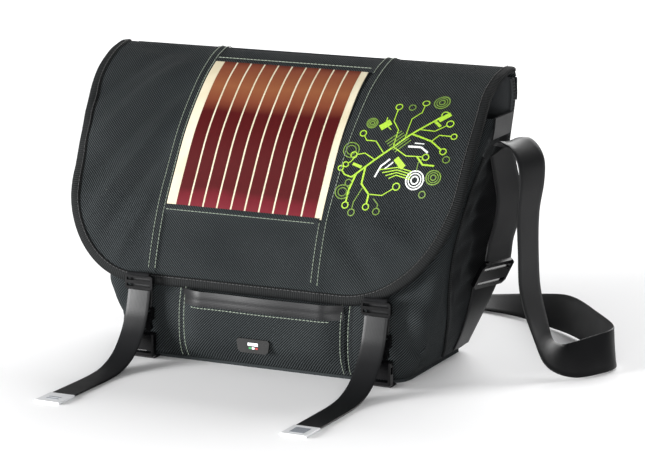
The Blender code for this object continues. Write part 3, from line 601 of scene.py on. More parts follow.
def make_stage():
    """A pale floor, soft lights round and above, and the camera."""
    azimuth, elevation = math.radians(25.5), math.radians(12.3)
    target, distance = Vector((0.025, 0.0, 0.120)), 2.8
    back = Vector((math.sin(azimuth) * math.cos(elevation), -math.cos(azimuth) * math.cos(elevation),
                   math.sin(elevation)))
    data = bpy.data.cameras.new("camera")
    data.sensor_width, data.lens = 36.0, 156.3
    data.clip_start, data.clip_end = 0.05, 60.0
    camera = bpy.data.objects.new("camera", data)
    camera.location = target + back * distance
    camera.rotation_mode = "QUATERNION"
    camera.rotation_quaternion = (-back).to_track_quat("-Z", "Y")
    bpy.context.scene.collection.objects.link(camera)
    bpy.context.scene.camera = camera

    paper = Shader("floor_paper", (0.93, 0.93, 0.935), 0.8)
    paper.set("Specular IOR Level", 0.2)
    turns = np.linspace(0, 2 * math.pi, FLOOR_SIDES, endpoint=False)
    rim = [(FLOOR_RADIUS * math.cos(a), FLOOR_RADIUS * math.sin(a), 0) for a in turns]
    solid("floor", rim, [tuple(range(FLOOR_SIDES))], paper.material)

    world = bpy.data.worlds.new("studio")
    world.use_nodes = True
    tree = world.node_tree
    room = tree.nodes["Background"]
    room.inputs["Color"].default_value = (1.0, 1.0, 1.0, 1)
    room.inputs["Strength"].default_value = 0.17
    seen = tree.nodes.new("ShaderNodeBackground")
    seen.inputs["Color"].default_value = (1.0, 1.0, 1.0, 1)
    seen.inputs["Strength"].default_value = 1.0
    path = tree.nodes.new("ShaderNodeLightPath")
    choose = tree.nodes.new("ShaderNodeMixShader")
    tree.links.new(path.outputs["Is Camera Ray"], choose.inputs[0])
    tree.links.new(room.outputs[0], choose.inputs[1])
    tree.links.new(seen.outputs[0], choose.inputs[2])
    tree.links.new(choose.outputs[0], tree.nodes["World Output"].inputs["Surface"])
    bpy.context.scene.world = world

    softbox("back_light", (0.6, 4.8, 3.0), (0.2, 0.6, 0), (6.0, 4.0), 460)
    softbox("front_light", (-2.0, -2.1, 0.50), (0, 0, 0.14), (1.3, 0.8), 205)
    softbox("fill_light", (1.1, -2.5, 0.40), (0, 0, 0.08), (1.4, 0.7), 52)
    view = bpy.context.scene.view_settings
    view.view_transform = "Standard"
    view.look = "None"


# ---- the flap ------------------------------------------------------------------------------------
def flap_levels(start=0.0, end=FLAP_END - 0.0002):
    """Distances down the flap, closer together at the turn over the top and at the round corners."""
    top = np.linspace(start, 0.03, 14, endpoint=False)
    middle = np.linspace(0.03, 0.255, 80, endpoint=False)
    foot = 0.255 + (end - 0.255) * np.sin(np.linspace(0, math.pi / 2, 24))
    return np.concatenate([top, middle, foot])


def flap_row(left, right, columns, s, height, soft):
    """Points across the flap at s, and their cloth coordinates."""
    xs = np.linspace(left, right, columns)
    return [on_flap(x, s, height, soft) for x in xs], [(x, s) for x in xs]


def flap_cloth(name, left, right, columns, height, finish, thickness, levels, soft=True):
    rows, coords = zip(*(flap_row(left(s), right(s), columns, s, height, soft) for s in levels))
    return cloth_grid(name, rows, coords, finish, FLAP_OUT, thickness)


def flap_area(left, right, levels):
    return float(np.trapz([right(s) - left(s) for s in levels], levels))


def make_flap(cloth, lining, binding, thread, dark_thread):
    levels = flap_levels()
    pieces = [
        ("flap_left_panel", lambda s: flap_edge(-1, s), lambda s: SEAM_LEFT + LAP, 48, 0.0, cloth, levels),
        ("flap_centre_panel", lambda s: SEAM_LEFT, seam_right, 68, -0.0009, cloth, levels),
        ("flap_right_panel", lambda s: seam_right(s) - LAP, lambda s: flap_edge(1, s), 54, 0.0, cloth, levels),
        ("flap_lining", lambda s: flap_edge(-1, s), lambda s: flap_edge(1, s), 100, -0.0024, lining,
         flap_levels(0.004, FLAP_END - 0.001)),
    ]
    for node, left, right, columns, height, finish, rows in pieces:
        obj = flap_cloth(f"{node}_cloth", left, right, columns, height, finish, FLAP_CLOTH, rows)
        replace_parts(obj, node)
        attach(obj, "flap")
        wide = max(right(s) for s in rows) - min(left(s) for s in rows)
        flap_area(left, right, rows)
    make_binding(binding)
    top, foot = 0.006, FLAP_END - 0.010
    whole = np.linspace(top, foot, 150)
    runs = [[on_flap(SEAM_LEFT + off - 0.0010, s, 0.0002) for s in whole] for off in (-0.0036, 0.0036)]
    runs.append([on_flap(seam_right(s) + 0.0048, s, 0.0002) for s in whole])
    for low, high in ((top, PANEL_S[0] + 0.004), (PANEL_S[1] + 0.002, foot)):
        runs.append([on_flap(seam_right(s) - 0.0022, s, 0.0002) for s in np.linspace(low, high, 60)])
    for edge, away in ((PANEL_S[0], -0.0040), (PANEL_S[1], 0.0042)):
        xs = np.linspace(SEAM_LEFT + 0.005, seam_right(edge) - 0.005, 80)
        runs.append([on_flap(x, edge + away, 0.0021, False) for x in xs])
    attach(stitches("flap_stitching", runs, thread, FLAP_OUT), "flap")
    hem = [[on_flap(x, s, 0.0015) for x, s in flap_outline(0.0028)]]
    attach(stitches("binding_stitching", hem, dark_thread, FLAP_OUT), "flap")


def flap_outline(inset, count=60):
    """Points round the flap's free edge, from its top left to its top right, set in by a distance."""
    levels = np.concatenate([np.linspace(0.014, 0.19, 44, endpoint=False),
                             0.19 + (FLAP_END - 0.19) * np.sin(np.linspace(0, math.pi / 2, count))])
    edge = [(flap_edge(-1, s), s) for s in levels]
    edge += [(x, FLAP_END) for x in np.linspace(flap_edge(-1, FLAP_END), flap_edge(1, FLAP_END), 60)[1:-1]]
    edge += [(flap_edge(1, s), s) for s in levels[::-1]]
    moved = []
    for i, (x, s) in enumerate(edge):
        (x0, s0), (x1, s1) = edge[max(i - 2, 0)], edge[min(i + 2, len(edge) - 1)]
        out = Vector((-(s1 - s0), x1 - x0)).normalized()
        moved.append((x - out.x * inset, s - out.y * inset))
    return moved


def make_binding(finish):
    """Folded tape round the flap's edge: over the cloth, round the edge and back under the lining."""
    section = [(0.0047, 0.0003), (0.0044, 0.0010), (0.0025, 0.0014), (-0.0010, 0.0014),
               (-0.0040, 0.0009), (-0.0056, -0.0002), (-0.0062, -0.0016), (-0.0056, -0.0031),
               (-0.0040, -0.0041), (0.0000, -0.0046), (0.0045, -0.0044), (0.0048, -0.0037),
               (0.0000, -0.0037), (-0.0024, -0.0030), (-0.0024, -0.0006), (0.0000, 0.0001)]
    lines = {inset: flap_outline(inset) for inset, _ in section}
    edge = np.array([tuple(on_flap(*p)) for p in lines[0.0000]])
    run = run_lengths(edge)
    around = run_lengths(np.array(section))
    rings = [[on_flap(*lines[inset][j], height) for inset, height in section] for j in range(len(edge))]
    coords = [(a, r) for r in run for a in around]
    obj = tube_mesh("flap_binding_tape", rings, finish, coords, 70)
    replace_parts(obj, "flap_binding")
    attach(obj, "flap")


def make_panel(film, cell, edging):
    """The solar panel: ivory film, ten cells under clear film, and a turned cloth edge above and below."""

    def strip(name, x0, x1, s0, s1, height, thickness, finish, columns):
        levels = np.linspace(s0, s1, 60)
        return flap_cloth(name, lambda s: x0, lambda s: x1, columns, height, finish, thickness, levels, False)

    base = strip("solar_laminate_film", *PANEL_X, *PANEL_S, 0.0014, 0.0010, film, 40)
    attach(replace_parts(base, "solar_laminate"), "flap")
    pitch = (CELL_FIELD_X[1] - CELL_FIELD_X[0]) / CELL_COUNT
    for i in range(CELL_COUNT):
        left = CELL_FIELD_X[0] + i * pitch + CELL_LINE / 2
        piece = strip(f"solar_cell_strip_{i + 1:02d}", left, left + pitch - CELL_LINE, PANEL_S[0] + 0.0005,
                      PANEL_S[1] - 0.0005, 0.00155, 0.0004, cell, 5)
        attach(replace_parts(piece, f"solar_cell_{i + 1:02d}"), "flap")
    for name, edge, way in (("window_edging_top", PANEL_S[0], -1), ("window_edging_foot", PANEL_S[1], 1)):
        rows, coords = [], []
        for t in (-0.0014, -0.0012, 0.0, 0.0020, 0.0040, 0.0060, 0.0075, 0.0090):
            s = edge + way * t
            height = 0.0020 if t < 0.001 else 0.0020 - 0.0026 * smoothstep(0.003, 0.009, t)
            row, flat = flap_row(SEAM_LEFT + 0.0030, seam_right(s) - 0.0030, 60, s, height, False)
            rows.append(row)
            coords.append(flat)
        piece = cloth_grid(name, rows, coords, edging, FLAP_OUT, 0.0008)
        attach(piece, "flap")


def make_hinge_strip(cloth):
    """The strip of cloth that joins the flap to the back, over the seam."""
    rows, coords = [], []
    heights = np.linspace(0.2600, 0.2815, 10)
    distances = np.linspace(0.0, 0.0105, 8)
    low, high = flap_edge(-1, 0.0) + 0.010, flap_edge(1, 0.0) - 0.004
    for z in heights:
        xs = np.linspace(-read(HALF_WIDTH, z) + 0.002, read(HALF_WIDTH, z) - 0.002, 90)
        rows.append([Vector((x, BACK_Y + 0.0012 + 0.0033 * smoothstep(0.2700, 0.2832, z), z)) for x in xs])
        coords.append([(x, z) for x in xs])
    for s in distances:
        xs = np.linspace(low, high, 90)
        rows.append([on_flap(x, s, 0.0007, False) for x in xs])
        coords.append([(x, 0.2832 + s) for x in xs])
    strip = cloth_grid("hinge_strip", rows, coords, cloth, (0, 1, 0.2), 0.0007)
    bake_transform(strip)


# ---- circuit print -------------------------------------------------------------------------------
class Print:
    """Thin ink shapes that lie on the flap, drawn in its own (x, s)."""

    def __init__(self, name, finish):
        self.name, self.finish = name, finish
        self.points, self.faces, self.coords = [], [], []

    def ribbon(self, line, width, closed=False):
        """A line of even width, its joints mitred, as a thin solid."""
        corners = [np.array(p, float) for p in line]
        dense = []
        for a, b in zip(corners, corners[1:] + corners[:1] if closed else corners[1:]):
            steps = max(1, int(np.linalg.norm(b - a) / 0.0025))
            dense += [a + (b - a) * t for t in np.linspace(0, 1, steps, endpoint=False)]
        if not closed:
            dense.append(corners[-1])
        count, base = len(dense), len(self.points)
        for i, p in enumerate(dense):
            before = dense[i - 1] if closed or i else 2 * p - dense[1]
            after = dense[(i + 1) % count] if closed or i < count - 1 else 2 * p - dense[i - 1]
            d1, d2 = ((b - a) / np.linalg.norm(b - a) for a, b in ((before, p), (p, after)))
            side = np.array([-(d1 + d2)[1], (d1 + d2)[0]])
            side /= np.linalg.norm(side)
            half = width / 2 / max(0.5, float(np.dot(side, [-d1[1], d1[0]])))
            for sign, heights in ((1, (-0.0002, 0.00026)), (-1, (0.00026, -0.0002))):
                x, s = p + sign * side * half
                for height in heights:
                    self.points.append(on_flap(x, s, height))
                    self.coords.append((x, s))
        for i in range(count if closed else count - 1):
            a, b = base + 4 * i, base + 4 * ((i + 1) % count)
            self.faces += [(a + k, a + (k + 1) % 4, b + (k + 1) % 4, b + k) for k in range(4)]
        if not closed:
            self.faces += [tuple(range(base, base + 4)), tuple(range(base + 4 * count - 4, base + 4 * count))]

    def ring(self, x, s, radius, width):
        self.ribbon([(x + radius * math.cos(a), s + radius * math.sin(a))
                     for a in np.linspace(0, 2 * math.pi, 22, endpoint=False)], width, closed=True)

    def branch(self, line, width, pad=0.0):
        """A trace that ends in a ringed pad."""
        self.ribbon(line, width)
        if pad:
            (x0, s0), (x1, s1) = line[-2:]
            far = math.hypot(x1 - x0, s1 - s0)
            self.ring(x1 + (x1 - x0) / far * pad, s1 + (s1 - s0) / far * pad, pad, 0.0011)

    def done(self):
        obj = solid(self.name, self.points, self.faces, self.finish, self.coords, 40)
        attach(obj, "flap")


def make_print(green, dim, white):
    """A made-up circuit: branching traces that end in ringed pads, with a few bars."""
    layers = (("green", green), ("dim", dim), ("white", white))
    bright, faint, pale = (Print(f"circuit_print_{word}", finish) for word, finish in layers)
    thin, middle, thick = 0.0010, 0.0018, 0.0030
    for line, width, pad in (
        ([(0.076, 0.172), (0.096, 0.152), (0.112, 0.137), (0.134, 0.116), (0.152, 0.098)], middle, 0.0036),
        ([(0.112, 0.137), (0.112, 0.118), (0.104, 0.108), (0.104, 0.094)], thin, 0.0034),
        ([(0.122, 0.128), (0.122, 0.104), (0.130, 0.095), (0.130, 0.086)], thin, 0.0034),
        ([(0.134, 0.116), (0.150, 0.116), (0.160, 0.108)], thin, 0.0036),
        ([(0.128, 0.122), (0.150, 0.128), (0.162, 0.136)], middle, 0.0032),
        ([(0.104, 0.145), (0.092, 0.132), (0.082, 0.132), (0.078, 0.127)], thin, 0.0032),
        ([(0.096, 0.152), (0.084, 0.146), (0.076, 0.148)], thin, 0.0032),
        ([(0.088, 0.160), (0.088, 0.178), (0.098, 0.188), (0.098, 0.198)], middle, 0.0032),
        ([(0.098, 0.188), (0.112, 0.188), (0.122, 0.180)], thin, 0.0036),
        ([(0.112, 0.137), (0.128, 0.146), (0.146, 0.146)], thin, 0.0032),
        ([(0.080, 0.168), (0.076, 0.186), (0.076, 0.198)], middle, 0.0032),
        ([(0.150, 0.128), (0.156, 0.120), (0.168, 0.120)], thin, 0.0030),
        ([(0.104, 0.118), (0.096, 0.112), (0.096, 0.104)], thin, 0.0),
        ([(0.140, 0.146), (0.148, 0.154), (0.160, 0.154)], middle, 0.0),
    ):
        bright.branch(line, width, pad)
    for i in range(4):
        lift = 0.0027 * i
        corners = ((0.103 + 0.004 * i, 0.162), (0.122, 0.1580), (0.138, 0.1615))
        bright.ribbon([(x, s + lift) for x, s in corners], thin)
    for line, width in (([(0.092, 0.117), (0.101, 0.109)], 0.0068), ([(0.118, 0.149), (0.128, 0.158)], 0.0060),
                        ([(0.150, 0.103), (0.160, 0.094)], 0.0050), ([(0.074, 0.158), (0.084, 0.161)], thick),
                        ([(0.146, 0.104), (0.154, 0.110)], thick)):
        bright.ribbon(line, width)
    for x, s, radius in ((0.146, 0.080, 0.0080), (0.162, 0.166, 0.0074), (0.082, 0.112, 0.0056)):
        for part, width in ((1.0, 0.0012), (0.70, 0.0009), (0.38, 0.0012)):
            faint.ring(x, s, radius * part, width)
    for radius, width in ((0.0094, 0.0014), (0.0068, 0.0012), (0.0038, 0.0014)):
        pale.ring(0.143, 0.170, radius, width)
    for i in range(6):
        x, s = 0.102 + 0.0026 * i, 0.1325 + 0.0020 * i
        faint.ribbon([(x, s), (x + 0.014, s - 0.0135)], thin)
    for line, width in (([(0.112, 0.150), (0.104, 0.158), (0.100, 0.170)], 0.0018),
                        ([(0.116, 0.153), (0.108, 0.161)], 0.0013),
                        ([(0.128, 0.136), (0.142, 0.136), (0.150, 0.141)], 0.0020),
                        ([(0.134, 0.132), (0.144, 0.132)], 0.0012)):
        pale.ribbon(line, width)
    for radius, width in ((0.0080, 0.0011), (0.0048, 0.0009)):
        faint.ring(0.0690, 0.1440, radius, width)
        faint.ring(0.0700, 0.1880, radius * 0.9, width)
    bright.branch([(0.076, 0.172), (0.068, 0.170), (0.0645, 0.166)], 0.0014, 0.0026)
    bright.branch([(0.076, 0.148), (0.0715, 0.156), (0.0690, 0.158)], 0.0011, 0.0026)
    for x, s in ((0.074, 0.178), (0.084, 0.208), (0.110, 0.205), (0.118, 0.090), (0.154, 0.184),
                 (0.170, 0.146)):
        faint.ring(x, s, 0.0034, 0.0010)
    for line in ([(0.090, 0.182), (0.084, 0.1975), (0.084, 0.2045)],
                 [(0.104, 0.192), (0.110, 0.1975), (0.110, 0.2015)],
                 [(0.143, 0.1606), (0.143, 0.152), (0.147, 0.148)]):
        faint.ribbon(line, 0.0009)
    for layer in (bright, faint, pale):
        layer.done()


# ---- the body ------------------------------------------------------------------------------------
def body_levels(top=BODY_TOP, count=92):
    """Heights up the body, closer together where the cloth turns under at the base."""
    foot = 0.0008 + 0.016 * (1 - np.cos(np.linspace(0, math.pi / 2, 12, endpoint=False)))
    return np.concatenate([foot, np.linspace(0.0168, top, count)])


def front_wall(z, columns=220):
    """The front wrap's outer face at one height, bellied and folded, with distances round it."""
    row = front_path(z, columns)
    points = [p for p, _ in row]
    moved = []
    for i, (p, d) in enumerate(row):
        along = (points[min(i + 5, columns - 1)] - points[max(i - 5, 0)]).normalized()
        out = Vector((along.y, -along.x, 0))
        out = out if out.y < 0.2 else -out
        belly = 0.0022 * math.cos(min(1.0, abs(d) / 0.13) * math.pi / 2)
        belly *= math.sin(math.pi * min(1, z / 0.12))
        away = creases(d, z, BODY_FOLDS) * smoothstep(0.0, 0.012, z) * smoothstep(0.0, 0.020, i / columns)
        moved.append((p + out * (belly + away - 0.0003), d))
    return moved


def make_body(cloth, side_cloth_painted_shade, lining, back_cloth):
    front = [front_wall(z) for z in body_levels()]
    obj = cloth_grid("body_front_cloth", [[p for p, _ in row] for row in front],
                     [[(d, p.z) for p, d in row] for row in front], cloth, (0, -1, 0.2), BODY_CLOTH, lining)
    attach(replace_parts(obj, "front_panel"), "root")

    rows = []
    for z in body_levels(BACK_TOP, 80):
        wide, r = read(HALF_WIDTH, z), BACK_CORNER_R
        tuck = foot_tuck(z)
        half = [(wide, BACK_Y - tuck - r - 0.004)]
        half += [(wide - r + r * math.cos(a), BACK_Y - tuck - r + r * math.sin(a))
                 for a in np.linspace(0, math.pi / 2, 8)]
        corner = [Vector((x, y, z)) for x, y in half]
        face = [back_wall(x, z) for x in np.linspace(wide - r, r - wide, 80)[1:-1]]
        rows.append(corner + face + [Vector((-p.x, p.y, z)) for p in corner[::-1]])
    obj = cloth_grid("body_back_cloth", rows, laid(rows, 0, 2), back_cloth, (0, 1, 0), BODY_CLOTH,
                     lining)
    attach(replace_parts(obj, "back_panel"), "root")

    for word, side in SIDES.items():
        rows = []
        for z in body_levels():
            wide = read(HALF_WIDTH, z)
            near, far = read(SEAM_Y, z) + 0.0014, BACK_Y - BACK_CORNER_R - 0.0050 - foot_tuck(z)
            inside = min(1.0, max(0.0, (z - HOLLOW_Z[0]) / (HOLLOW_Z[1] - HOLLOW_Z[0])))
            row = []
            for t in np.linspace(0, 1, 44):
                rise = smoothstep(0, 0.30, min(t, 1 - t))
                pucker = 0.0018 * math.sin(95 * z + 5 * t + side) + 0.0012 * math.sin(210 * z - 9 * t)
                pucker *= rise * smoothstep(0.035, 0.09, z) * smoothstep(0.235, 0.20, z)
                out = wide - HOLLOW_DEEP * math.sin(math.pi * inside) * rise - abs(pucker)
                row.append(Vector((side * out, near + (far - near) * t, z)))
            rows.append(row)
        # The gussets wear the darker side nylon, which is painted shade.
        obj = cloth_grid(f"gusset_cloth_{word}", rows, laid(rows, 1, 2), side_cloth_painted_shade, (side, 0, 0), BODY_CLOTH,
                         lining)
        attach(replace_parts(obj, f"side_gusset_{word}"), "root")


def back_wall(x, z, height=0.0):
    """The back's outer face: a shallow sag, two broad waves, and turned under at its foot."""
    wide = read(HALF_WIDTH, z)
    inner = max(0.0, 1 - abs(x) / wide) * math.sin(math.pi * min(1, z / BACK_TOP))
    sag = 0.0012 * math.sin(34 * x + 22 * z) + 0.0008 * math.sin(61 * x - 40 * z + 1.3)
    return Vector((x, BACK_Y - foot_tuck(z) + inner * (sag - 0.0010) + height, z))


def make_trims(tape, binding):
    """Hems, piping, the webbing up each end and the turned top edge of the front."""
    for word, side in SIDES.items():
        low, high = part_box(f"gusset_hem_{word}")
        rows = []
        for z in np.linspace(low.z, high.z + 0.0015, 10):
            out = read(HALF_WIDTH, z) + 0.0016 + 0.0004 * math.sin(math.pi * (z - low.z) / (high.z - low.z))
            rows.append([Vector((side * out, y, z)) for y in np.linspace(low.y, high.y, 24)])
        hem = cloth_grid(f"gusset_hem_tape_{word}", rows, laid(rows, 2, 1), tape, (side, 0, 0), 0.0014)
        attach(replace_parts(hem, f"gusset_hem_{word}"), "root")
        seam = [(side * (read(HALF_WIDTH, z) + 0.0017), read(SEAM_Y, z), z)
                for z in (0.012, 0.024, 0.036, 0.060, 0.090, 0.120, 0.150, 0.180, 0.215)]
        piping = round_cord(f"piping_{word}", seam, 0.0015, binding)
        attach(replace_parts(piping, f"front_piping_{word}"), "root")
        stops = ((0.0120, 0.0016, 0.0), (0.0300, 0.0018, 0.03), (0.0530, 0.0022, 0.14), (0.0800, 0.0040, 0.33))
        rise = [((side * (read(HALF_WIDTH, z) + away), 0.046, z), (side * turn, 1, 0))
                for z, away, turn in stops]
        strap = webbing(f"gusset_strap_{word}", rise, WIDE_WEBBING, 0.0014, tape)
        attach(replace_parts(strap, f"gusset_webbing_{word}"), "root")
    rim = [p + Vector((0, 0, 0.0004)) for p, _ in front_wall(BODY_TOP, 90)][4:-4]
    rings, coords = [], []
    run = run_lengths(np.array([tuple(p) for p in rim]))
    for i, p in enumerate(rim):
        along = (rim[min(i + 1, len(rim) - 1)] - rim[max(i - 1, 0)]).normalized()
        out = along.cross(Vector((0, 0, 1)))
        out = out if out.y < 0.2 else -out
        section = [(0.0010, -0.0100), (0.0013, -0.0030), (0.0008, 0.0008), (-0.0012, 0.0016),
                   (-0.0030, 0.0008), (-0.0036, -0.0030), (-0.0034, -0.0100), (-0.0024, -0.0098),
                   (-0.0024, -0.0006), (0.0000, -0.0006)]
        rings.append([p + out * a + Vector((0, 0, b)) for a, b in section])
        coords += [(0.002 * k, run[i]) for k in range(len(section))]
    edge = tube_mesh("front_rim_tape", rings, binding, coords, 70)
    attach(edge, "root")


def pocket_face(x, z, height=0.0):
    """The front pocket's outer face: it bulges, and closes to the front wall at its sides and bottom."""
    across = (x - POCKET_X[0]) / (POCKET_X[1] - POCKET_X[0])
    up = (z - POCKET_Z[0]) / (POCKET_Z[1] - POCKET_Z[0])
    side_rise = max(0.0, min(1.0, 7.0 * min(across, 1 - across)))
    rise = math.sin(side_rise * math.pi / 2) * math.sin(min(1.0, 2.2 * max(0.0, up)) * math.pi / 2)
    wave = 0.0007 * math.sin(60 * x + 1.0) * smoothstep(0.3, 1.0, up)
    return Vector((x, read(FRONT_Y, z) - 0.0030 - POCKET_BULGE * rise - wave - height, z))


def make_pocket(cloth, tape, thread):
    xs = np.linspace(*POCKET_X, 110)
    zs = np.linspace(*POCKET_Z, 44)
    obj = cloth_grid("front_pocket_cloth", [[pocket_face(x, z) for x in xs] for z in zs],
                     [[(x, z) for x in xs] for z in zs], cloth, FRONT_OUT, 0.0016)
    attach(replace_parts(obj, "front_pocket"), "root")
    lip = POCKET_Z[1]
    rows = []
    for z in np.linspace(lip - 0.0060, lip + 0.0085, 14):
        full = 0.0010 * math.sin(math.pi * (z - lip + 0.0060) / 0.0145)
        over = Vector((0, 0, max(0.0, z - lip)))
        plump = [(x, full * smoothstep(0, 0.02, min(x - xs[1], xs[-2] - x))) for x in xs[1:-1]]
        rows.append([pocket_face(x, min(z, lip), 0.0004 + more) + over for x, more in plump])
    band = cloth_grid("pocket_mouth_webbing", rows, laid(rows, 2, 0), tape, FRONT_OUT, 0.0012)
    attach(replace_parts(band, "pocket_mouth_tape"), "root")
    runs = []
    for x in (POCKET_X[0] - 0.0035, POCKET_X[0] + 0.0035, POCKET_X[1] - 0.0035, POCKET_X[1] + 0.0035):
        inside = POCKET_X[0] < x < POCKET_X[1]
        runs.append([pocket_face(x, z, 0.0002) if inside else
                     Vector((x, read(FRONT_Y, z) - 0.0025, z)) for z in np.linspace(0.006, lip + 0.012, 60)])
    runs.append([pocket_face(x, lip - 0.0078, 0.0003) for x in xs[8:-8]])
    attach(stitches("pocket_stitching", runs, thread, FRONT_OUT), "root")


# ---- straps and closures -------------------------------------------------------------------------
def make_divider(finish, thread):
    """The padded laptop divider: blown up between its sewn edge and channels by a short cloth simulation."""
    low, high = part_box("laptop_divider")
    middle = (low.y + high.y) / 2
    xs = np.linspace(low.x + 0.0015, high.x - 0.0015, 57)
    zs = np.linspace(low.z + 0.0015, high.z - 0.0015, 45)
    channels, blown_up_to = (14, 28, 42), 0.0014
    seams = {0, *channels, len(xs) - 1}
    count = len(xs) * len(zs)
    points, sewn = [], []
    for way in (-1, 1):
        for j, z in enumerate(zs):
            for i, x in enumerate(xs):
                held = i in seams or j in (0, len(zs) - 1)
                points.append(Vector((x, middle + way * (0.0009 if held else 0.0014), z)))
                if held:
                    sewn.append(len(points) - 1)
    near, rim = grid_faces(len(zs), len(xs))
    faces = near + [tuple(k + count for k in f[::-1]) for f in near]
    faces += [(a, b, b + count, a + count) for a, b in zip(rim, rim[1:] + rim[:1])]
    pad = solid("divider_pad", points, faces, finish, [(p.x, p.z) for p in points], 60)
    pins = pad.vertex_groups.new(name="sewn")
    pins.add(sewn, 1.0, "REPLACE")
    cloth = pad.modifiers.new("filling", "CLOTH")
    cloth.settings.vertex_group_mass = "sewn"
    cloth.settings.use_pressure = True
    cloth.settings.uniform_pressure_force = 4
    cloth.settings.effector_weights.gravity = 0
    for step in range(1, 21):
        bpy.context.scene.frame_set(step)
    graph = bpy.context.evaluated_depsgraph_get()
    blown = np.empty(len(points) * 3)
    pad.evaluated_get(graph).data.vertices.foreach_get("co", blown)
    start = np.array([tuple(p) for p in points])
    moved = start + np.clip(blown.reshape(-1, 3) - start, -blown_up_to, blown_up_to)
    pad.modifiers.remove(cloth)
    bpy.context.scene.frame_set(1)
    pad.data.vertices.foreach_set("co", moved.ravel())
    pad.data.update()
    smooth = pad.modifiers.new("finer", "SUBSURF")
    smooth.levels = smooth.render_levels = 1
    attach(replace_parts(pad, "laptop_divider"), "root")
    levels = np.linspace(low.z + 0.004, high.z - 0.004, 60)
    runs = [[Vector((xs[i], middle - 0.0013, z)) for z in levels] for i in channels]
    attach(stitches("divider_stitching", runs, thread, FRONT_OUT), "root")


def make_back_stitching(thread):
    """Two rows of stitches round the back panel, just inside its seams."""
    runs = []
    for inset in (0.006, 0.011):
        corners = [(-1, BACK_TOP - 0.020), (-1, 0.012 + inset), (1, 0.012 + inset), (1, BACK_TOP - 0.020)]
        line = [(way * (read(HALF_WIDTH, z) - BACK_CORNER_R - inset), z) for way, z in corners]
        path = []
        for (x0, z0), (x1, z1) in zip(line, line[1:]):
            for t in np.linspace(0, 1, 60, endpoint=False):
                z = z0 + (z1 - z0) * t
                side = read(HALF_WIDTH, z) - BACK_CORNER_R - inset
                x = x0 + (x1 - x0) * t if z0 == z1 else math.copysign(side, x0)
                path.append(back_wall(x, z, 0.0002))
        runs.append(path)
    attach(stitches("back_stitching", runs, thread, (0, 1, 0)), "root")


def make_straps(tape):
    strap = webbing("shoulder_strap_webbing", SHOULDER_STRAP, WIDE_WEBBING, 0.0017, tape, 10)
    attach(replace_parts(strap, "shoulder_strap"), "root")
    pivot, axis = (Vector(JOINTS["adjuster_swing"][key]) for key in ("pos_m", "axis"))
    bar = pivot + axis.cross(Vector((0, 0, 1))).normalized() * 0.0138 + Vector((0, 0, 0.0245))
    path = ADJUSTER_STRAP[:-1] + [((0.1962, 0.0462, 0.1110), axis), (tuple(bar), axis)]
    inner = webbing("adjuster_strap_webbing", path, WIDE_WEBBING, 0.0017, tape, 8)
    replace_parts(inner, "adjuster_strap")
    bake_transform(inner)


def make_closure(word, tape):
    """One closure: the webbing through its ladder lock and buckle, the free tail and the small sewn loops."""
    swing, tail_axis = (Vector(JOINTS[f"{kind}_{word}"]["pos_m"]) for kind in ("closure_swing", "tail_swing"))
    x, y, across = swing.x, swing.y, (1, 0, 0)
    low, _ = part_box(f"strap_tail_{word}")
    path = [(0.0, tail_axis.z), (0.0035, 0.058), (0.0085, 0.044), (0.0185, 0.028), (0.0345, 0.0130),
            (0.0560, 0.0042), (0.0800, 0.0014), (0.1165, 0.0012), (y - low.y, 0.0014)]
    hanging = [((x, y - out, z), across) for out, z in path]
    tail = webbing(f"tail_webbing_{word}", hanging, WEBBING, 0.0014, tape, 8, 0.0003)
    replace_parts(tail, f"strap_tail_{word}")
    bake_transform(tail)
    turn = ((0.0034, 0.0012), (0.0018, 0.0034), (-0.0012, 0.0038), (-0.0034, 0.0012))
    loop = [((x, y + out, swing.z + up), across) for out, up in turn]
    tab = webbing(f"lock_tab_webbing_{word}", loop, WEBBING, 0.0010, tape, 5)
    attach(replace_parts(tab, f"lock_tab_{word}"), "flap")
    low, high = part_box(f"lower_strap_{word}")
    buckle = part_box(f"buckle_male_{word}")[1]
    back = high.y - 0.0005
    drop = ((back, high.z), (back, 0.070), (back - 0.0006, buckle.z + 0.0060), (low.y + 0.0005, low.z))
    lower = [((x, out, z), across) for out, z in drop]
    strap = webbing(f"lower_webbing_{word}", lower, WEBBING - 0.0010, 0.0010, tape, 6)
    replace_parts(strap, f"lower_strap_{word}")
    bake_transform(strap)
    low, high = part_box(f"buckle_tab_{word}")
    centre = (low.z + high.z) / 2
    flat = [((x, out, centre), across) for out in np.linspace(high.y, low.y, 4)]
    tab = webbing(f"buckle_tab_webbing_{word}", flat, WEBBING, 0.0012, tape, 3)
    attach(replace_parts(tab, f"buckle_tab_{word}"), "root")


